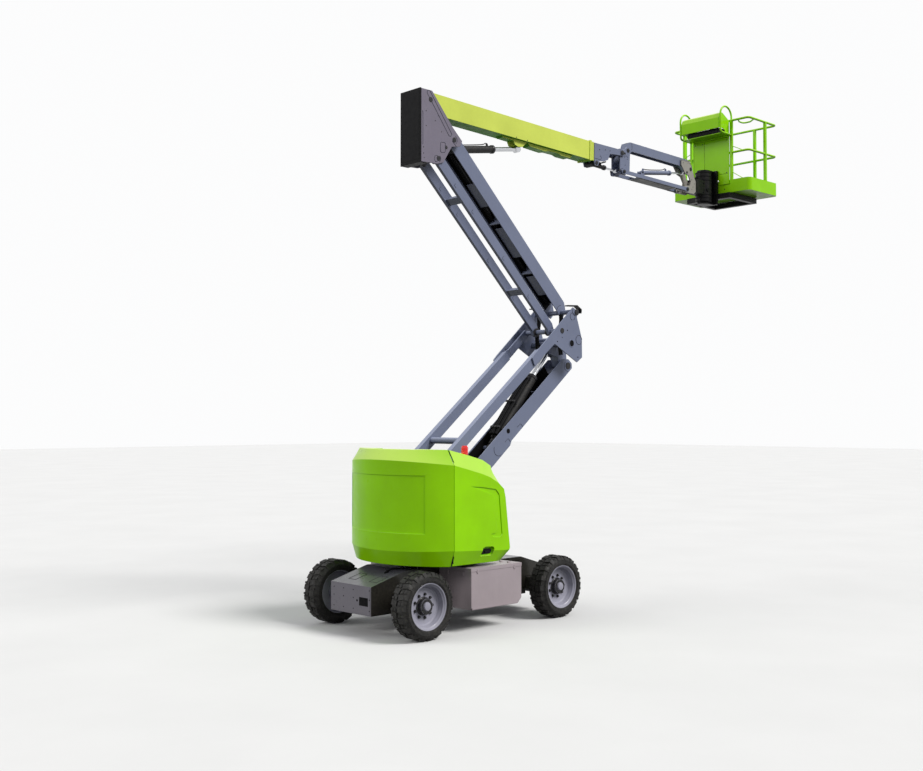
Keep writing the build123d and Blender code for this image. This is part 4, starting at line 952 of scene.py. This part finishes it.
def dress_upper():
    """Welds dark with painted edge shade, painted shade inside, cover plates and pipes of the upper arm,
    and the ladder's trim.
    """
    marks = Lines("upper_arm_welds_and_shade", "upper_arm", "weld_and_shade", 3.0, UPPER)
    marks.drawn(UPPER_FACE + 0.8, arc(0, 0, 96, -40, 50))
    marks.drawn(UPPER_FACE + 0.8, arc(ARM, 0, 80, 120, 240))
    # painted shade: dark sheets inside the arm, where shade falls
    inner = Build("upper_arm_shade_sheet", "upper_arm", "shadow", UPPER)
    inner.slabs(90, 2620, 92, 93.5, -120, 30)
    inner.block(90, 1600, -92, 92, -124.5, -122.5)
    plates = Build("upper_arm_plates", "upper_arm", "arm_grey", UPPER)
    for s0, s1 in ((330, 640), (960, 1420), (1760, 2100)):
        plates.block(s0, s1, -70, 70, 8, 16)
    hoses = Lines("upper_arm_pipes", "upper_arm", "black_plastic", 13.0, UPPER)
    for y in (-80, -54, 52, 80):
        hoses.run([(120, y, -40), (700, y, -16), (1500, y, -16), (2580, y, -30)], smooth=True)
    rails = Lines("ladder_welds_and_shade", "upper_ladder", "weld_and_shade", 2.6, LADDER)
    for face in LADDER_FACES:
        for a in (560, 1180, 1900, 2290):
            rails.drawn(face, [(a, 8), (a + 40, 8), (a + 40, -26)])
    bosses = Build("ladder_bosses", "upper_ladder", "steel", LADDER)
    for s in (-1, 1):
        for x in (0, ARM):
            bosses.turned([(31, 0), (52, 0), (54, 6), (54, 20), (31, 20)], (x, s * 106, 0), (0, -s, 0), 32)


UPRIGHT_FACE = 170
UPRIGHT_SLOT = (Vector((-400, 0, 478)), Vector((-70, 0, 58)))
SLOT_R = 26


def rough_box(x0, x1, z0, z1):
    """A box outline whose corners are cut unevenly."""
    low = [(x0 + 12, z0), (x1 - 12, z0 + 8), (x1, z0 + 22)]
    high = [(x1, z1 - 12), (x1 - 14, z1), (x0 + 8, z1 - 6), (x0, z1 - 20)]
    return low + high + [(x0, z0 + 14)]


def dress_upright():
    """Slot and box outlines, pin heads and bolts, and the rear cover's frame."""
    where = at(ARM_TOP)
    a, b = UPRIGHT_SLOT
    turn = degrees(atan2(b.z - a.z, b.x - a.x))
    slot = arc(a.x, a.z, SLOT_R, turn + 90, turn + 270) + arc(b.x, b.z, SLOT_R, turn - 90, turn + 90)
    # dark beads along the slot and plate edges: painted edge shade
    marks = Lines("upright_outlines", "upright", "weld_and_shade", 3.0, where)
    face = UPRIGHT_FACE + 0.6
    marks.drawn(face, slot, cyclic=True)
    for sides in ((-218, -143, -179, -54), (-308, -258, -299, -224)):
        marks.drawn(face, rough_box(*sides), cyclic=True)
    marks.drawn(face, arc(0, 0, 46, -60, 70))
    marks.drawn(face, [(-30, -20), (40, -78)])
    marks.drawn(face, arc(-250, -255, 36, -70, 60))
    marks.drawn(face, [(-498, 250), (-490, 240), (-490, -120), (-498, -130)])
    caps = Build("upright_pins", "upright", "steel", where)
    eye = step(ARM_TOP, PINS["boom_cylinder"])
    pivots = ((*step(ARM_TOP, PIVOT), 30), (-250, -255, 28), (0, 0, 30), (*eye, 20))
    screws = [(-300, 170), (-440, 90), (-440, 260), (-200, 60)]
    screws += [(-480, -230), (-480, -160), (-470, -280), (-250, 240)]
    for x, z, r in pivots:
        caps.heads(UPRIGHT_FACE, x, z, r, 3, 1, 28)
    for x, z in screws:
        caps.heads(UPRIGHT_FACE, x, z, 6, 2.5, 1, 12)
    cover = Build("upright_cover_frame", "upright", "black_plastic", where)
    cover.block(-531.5, -529.5, -150, 150, -300, 480)
    for z in (-240, 90, 420):
        for y in (-158, 158):
            cover.disc((-530, y, z), (-1, 0, 0), 7, 3, 1, 12)
    cover.block(-530, -420, -165, 165, -339, -335)
    # painted shade: a dark sheet inside the upright, behind the cover frame, where shade falls
    inside = Build("upright_inside", "upright", "shadow", where)
    inside.block(-494, -492, -155, 155, -300, 480)


# ---- boom and jib
BOOM_SIDE = 98
BOOM_UNDER = -131
FLY_PIN = (3596, 90)


def pivot_caps(build, x, z, face, r):
    """Pin heads, each with a keeper plate and its bolt."""
    build.heads(face, x, z, r, 7, 2, 28)
    build.heads(face + 7, x, z, r * 0.62, 4, 1.5, 24)
    build.slabs(x + r * 0.5, x + r * 1.75, face, face + 9, z - 13, z + 13)
    build.side_nuts(face + 9, x + r * 1.45, z, 8, 7)


def dress_boom():
    """The boom's hose tray, end bands and bolts, and the fly's welds, dark with painted edge shade,
    pins and pipes.
    """
    tray = Build("boom_tray", "boom", "boom_lime", BOOM)
    tray.prism([(1290, BOOM_UNDER), (1310, -150), (1500, -152), (1520, BOOM_UNDER)], -52, 52)
    view = [(1750, BOOM_UNDER), (1790, -168), (2080, -176), (2150, -160)]
    view += [(2330, -156), (2390, -172), (2560, -170), (2600, BOOM_UNDER)]
    tray.prism(view, -58, 58)
    bands = Build("boom_bands", "boom", "boom_lime", BOOM)
    for s0 in (2948, 2972):
        bands.slabs(s0, s0 + 9, BOOM_SIDE - 0.5, BOOM_SIDE + 3, BOOM_UNDER, 116)
        bands.block(s0, s0 + 9, -BOOM_SIDE - 3, BOOM_SIDE + 3, 115, 118)
    bolts = Build("boom_bolts", "boom", "steel", BOOM)
    for x, z in ((-30, 70), (60, -80), (1500, -118), (1700, -118), (2920, 80), (2920, -90)):
        bolts.heads(BOOM_SIDE, x, z, 7, 3, 1, 12)
    bolts.heads(BOOM_SIDE, 0, 0, 52, 4, 1.5, 32)
    marks = Lines("fly_welds_and_shade", "fly", "weld_and_shade", 2.6, BOOM)
    loop = [(3018, -92), (3130, -92), (3144, -80), (3150, -62), (3140, -46), (3120, -40)]
    marks.drawn(BOOM_SIDE + 0.6, loop, smooth=True)
    marks.drawn(BOOM_SIDE + 0.6, arc(*FLY_PIN, 46, 120, 250))
    caps = Build("fly_pins", "fly", "steel", BOOM)
    pivot_caps(caps, *FLY_PIN, BOOM_SIDE, 34)
    caps.heads(BOOM_SIDE, 3052, -147, 26, 8, 2, 24)
    for x, z in ((3110, 40), (3230, 60), (3330, 66), (3040, -165)):
        caps.heads(BOOM_SIDE, x, z, 7, 3, 1, 12)
    caps.turned([(14, 0), (34, 0), (34, 120), (14, 120)], (3040, -60, -160), (0, 1, 0), 28)
    hoses = Lines("fly_pipes", "fly", "black_plastic", 9.0, BOOM)
    for y in (-58, -34, 36, 58):
        hoses.run([(3010, y, -122), (3090, y, -150), (3190, y, -122), (3290, y, -84)], smooth=True)


BRACKET_FACE = 76
LOW_PIN_FACE = 111
JIB_SIDE = 53


def dress_jib_rear():
    """Pin heads, bolts and welds, dark with painted edge shade, of the bracket between fly and jib."""
    high = step(TIP, JIB_HIGH)
    low = step(TIP, JIB_LOW)
    caps = Build("jib_rear_pins", "jib_rear", "steel", at(TIP))
    caps.heads(BRACKET_FACE, *high, 30, 6, 2, 28)
    caps.heads(LOW_PIN_FACE, *low, 26, 6, 2, 28)
    caps.heads(BRACKET_FACE, -30, -240, 20, 4, 2, 28)
    caps.side_nuts(BRACKET_FACE + 6, *high, 12, 8)
    caps.side_nuts(LOW_PIN_FACE + 6, *low, 11, 7)
    for x, z in ((80, -40), (90, -150), (140, -60)):
        caps.heads(BRACKET_FACE, x, z, 6, 3, 1, 12)
    marks = Lines("jib_rear_welds_and_shade", "jib_rear", "weld_and_shade", 2.4, at(TIP))
    marks.drawn(BRACKET_FACE + 0.6, arc(*low, 46, 30, 150))
    marks.drawn(BRACKET_FACE + 0.6, [(20, -30), (130, -20), (150, -40)])


def dress_jib_arms():
    """Welds dark with painted edge shade, bosses, painted shade inside the top arm, and the low arm's
    trim and pipes.
    """
    top = Lines("jib_top_welds_and_shade", "jib_top", "weld_and_shade", 2.4, JIB_ARM)
    face = JIB_SIDE + 0.6
    top.drawn(face, [(110, 126), (118, 60), (112, 30)])
    top.drawn(face, [(1350, 126), (1344, 74), (1360, 26)])
    top.drawn(face, arc(0, 0, 36, -40, 150))
    top.drawn(face, arc(JIB, 0, 36, 30, 220))
    boss = Build("jib_top_bosses", "jib_top", "black_paint", JIB_ARM)
    for x in (0, JIB):
        boss.collars([(21, 0), (36, 0), (36, 5), (21, 5)], JIB_SIDE, x, 0, 28)
    # painted shade: a dark sheet just below the top arm's top plate, inside the open channel
    roof_shade = Build("jib_top_roof_shade", "jib_top", "shadow", JIB_ARM)
    roof_shade.block(82, 1388, -42.5, 42.5, 123.5, 125.5)
    rail = Build("jib_low_trim", "jib_low", "black_paint", JIB_RAIL)
    rail.block(380, 1230, -86, 86, -30, -27)
    rail.slabs(1250, 1420, 60, 90, -34, -26)
    rail.heads(38, 504, 87, 17, 2, 1, 24)
    lines = Lines("jib_low_pipes", "jib_low", "black_plastic", 8.0, JIB_RAIL)
    for y in (-66, -48, 50, 68):
        lines.run([(350, y, -6), (620, y, -6), (1240, y, -6)])


def dress_jib_front():
    """Pin heads, bolts and flanges of the front bracket, and the rotator's ribs and ports."""
    front = Build("jib_front_pins", "jib_front", "steel", at(JIB_END))
    front.heads(BRACKET_FACE, *step(JIB_LOW, JIB_HIGH), 28, 6, 2, 28)
    front.heads(LOW_PIN_FACE, 0, 0, 26, 6, 2, 28)
    front.heads(BRACKET_FACE, 30, 252, 18, 6, 2, 28)
    front.side_nuts(LOW_PIN_FACE + 6, 0, 0, 11, 7)
    for x, z in ((150, 160), (180, 60), (150, 20), (215, 110), (-60, 380), (60, 395)):
        front.heads(BRACKET_FACE, x, z, 6, 3, 1, 12)
    cap = Build("jib_front_flanges", "jib_front", "sand_grey", at(JIB_END), "arm_grey")
    for s in (-1, 1):
        outline = [(-104, 417), (85, 425), (158, 348), (154, 342), (84, 418), (-104, 410)]
        cap.prism(outline, *band(s, 60.5, BRACKET_FACE + 3))
    middle = Vector((PINS["platform_turn"].x, 0, JIB_END.z))
    body = Build("rotator_trim", "jib_front", "black_plastic", at(middle), "black_paint")
    for z in (-108, -60, -12, 200, 262, 318):
        body.turned([(112, 0), (124, 2), (124, 12), (112, 14)], (0, 0, z), UP, 56)
    for x, y in around(12, 104):
        body.nut((x, y, 332), UP, 7, 8)
    body.heads(84, -30, 60, 40, 30, 6, 28)
    for z in (150, 20):
        body.side_nuts(84, -120, z, 10, 10)
    body.block(-230, -110, -60, 60, 188, 230)


# ---- platform
def corners(node):
    """A solid's box as two corners in millimetres."""
    low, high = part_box(node)
    return [c * 1000 for c in low], [c * 1000 for c in high]


FLOOR_LOW, FLOOR_HIGH = corners("platform_floor")
BACK_X, _, UNDER_Z = FLOOR_LOW
FRONT_X, SIDE_Y, KICK_Z = FLOOR_HIGH
PANEL_X = BACK_X - 16.5
MID_RAIL_Z = KICK_Z + 407


def dress_platform_panel():
    """Seams and bolts of the panel that faces the jib."""
    seams = Lines("panel_seams", "platform", "shadow", 1.8)
    ends = ((86, 20, 86, 628), (-320, 98, 70, 98), (-330, 636, 286, 636), (278, 10, 278, 630))
    for y0, z0, y1, z1 in ends:
        seams.run([(PANEL_X, y0, KICK_Z + z0), (PANEL_X, y1, KICK_Z + z1)])
    bolts = Build("panel_bolts", "platform", "steel")
    for y, z in ((-300, 112), (-300, 600), (-60, 112), (120, 600), (250, 30), (250, 600)):
        bolts.disc((PANEL_X, y, KICK_Z + z), (-1, 0, 0), 8, 4, 1.5, 14)
    for y in (-250, -120, 120, 250):
        bolts.disc((BACK_X + 1, y, UNDER_Z + 60), (-1, 0, 0), 9, 3, 1.5, 14)


def dress_console():
    """Joysticks, buttons, fins and the stop button on the control box."""
    low, high = corners("console_box")
    top = high[2]
    sticks = Build("control_sticks", "platform", "black_plastic", bevel=1)
    boot = [(1, 0), (30, 0), (30, 5), (23, 12), (26, 16), (18, 22), (20, 26), (9, 32), (8, 44), (1, 44)]
    knob = [(1, 42), (12, 42), (17, 52), (17, 60), (11, 68), (1, 70)]
    for y in (-165, 150):
        sticks.turned(boot, (low[0] + 26, y, top), UP, 28)
        sticks.turned(knob, (low[0] + 26, y, top - 8), UP, 24)
    for y in (-90, -40, 10, 60):
        sticks.turned([(1, 0), (11, 0), (11, 8), (8, 10), (1, 10)], (low[0] + 60, y, top), UP, 20)
    face = [(low[0] - 5, low[2] + 8), (low[0], low[2] + 4), (low[0], top - 4), (low[0] - 5, top - 12)]
    sticks.prism(face, low[1] + 20, high[1] - 20)
    for y in range(-230, 220, 56):
        sticks.block(low[0] - 10, low[0] - 4, y, y + 30, low[2] + 20, low[2] + 52)
    stop = Build("stop_button", "platform", "red_lamp")
    button = [(1, 0), (10, 0), (10, 10), (19, 13), (19, 21), (14, 25), (1, 26)]
    stop.turned(button, (low[0] + 40, -240, top), UP, 28)


def dress_platform_frame():
    """Rail stays, the floor's tread plate, and pads and bolts of the support."""
    stays = Lines("rail_stays", "platform", "lime", 5.5)
    x = BACK_X + 20
    for s, y in ((-1, -360), (1, 342)):
        stays.run([(x, y + s * 18, MID_RAIL_Z + 92), (x, s * 560, MID_RAIL_Z + 4)])
        stays.run([(x, y + s * 18, KICK_Z + 110), (x, y + s * 190, KICK_Z - 2)])
    stays.run([(FRONT_X - 20, -270, KICK_Z + 140), (FRONT_X - 20, -150, KICK_Z - 2)])
    grip = Build("floor_tread", "platform", "lime")
    for n in range(11):
        for k in range(15):
            x = BACK_X + 75 + n * 63
            y = -580 + k * 83
            lean = 12 if (n + k) % 2 else -12
            outline = [(x - 18, y - lean), (x, y - 4), (x + 18, y + lean), (x, y + 4)]
            grip.prism(outline, UNDER_Z + 16.5, UNDER_Z + 19.5, "z")
    pads = Build("support_pads", "platform", "steel")
    for x in (BACK_X + 90, FRONT_X - 150):
        for y in (-345, 345):
            pads.disc((x, y, UNDER_Z - 5.5), UP, 24, 5, 1.5, 20)
            pads.nut((x, y, UNDER_Z - 18), UP, 11, 12)
    for y in (-60, 60):
        pads.disc((FRONT_X - 200, y, UNDER_Z - 2.5), (0, 0, -1), 9, 3, 1, 14)


def dress_gate():
    """Hinge sleeves and the latch of the gate."""
    low, high = corners("gate")
    hinge = Build("gate_hinges", "gate", "lime")
    sleeve = [(15.2, 0), (18, 0), (18, 50), (15.2, 50)]
    for z in (KICK_Z + 150, KICK_Z + 760):
        hinge.turned(sleeve, (low[0] + 15, SIDE_Y - 20, z), UP, 28)
    latch = Build("gate_latch", "gate", "steel", bevel=1.5)
    latch.block(high[0] - 26, high[0] - 4, SIDE_Y - 38, SIDE_Y - 34, MID_RAIL_Z + 20, MID_RAIL_Z + 90)
    latch.block(high[0] - 44, high[0] - 6, SIDE_Y - 50, SIDE_Y - 38, MID_RAIL_Z + 50, MID_RAIL_Z + 62)


# ---- the whole scene
add_camera()
add_floor()
add_world()
add_suns()
paint_nodes()
for end in ("front", "rear"):
    for side in ("left", "right"):
        dress_wheel(end, side)
dress_chassis()
dress_boxes()
dress_covers()
dress_lower()
dress_cylinders()
dress_elbow()
dress_upper()
dress_upright()
dress_boom()
dress_jib_rear()
dress_jib_arms()
dress_jib_front()
dress_platform_panel()
dress_console()
dress_platform_frame()
dress_gate()
for piece in PIECES:
    piece.done()

SCENE.view_settings.view_transform = "Standard"
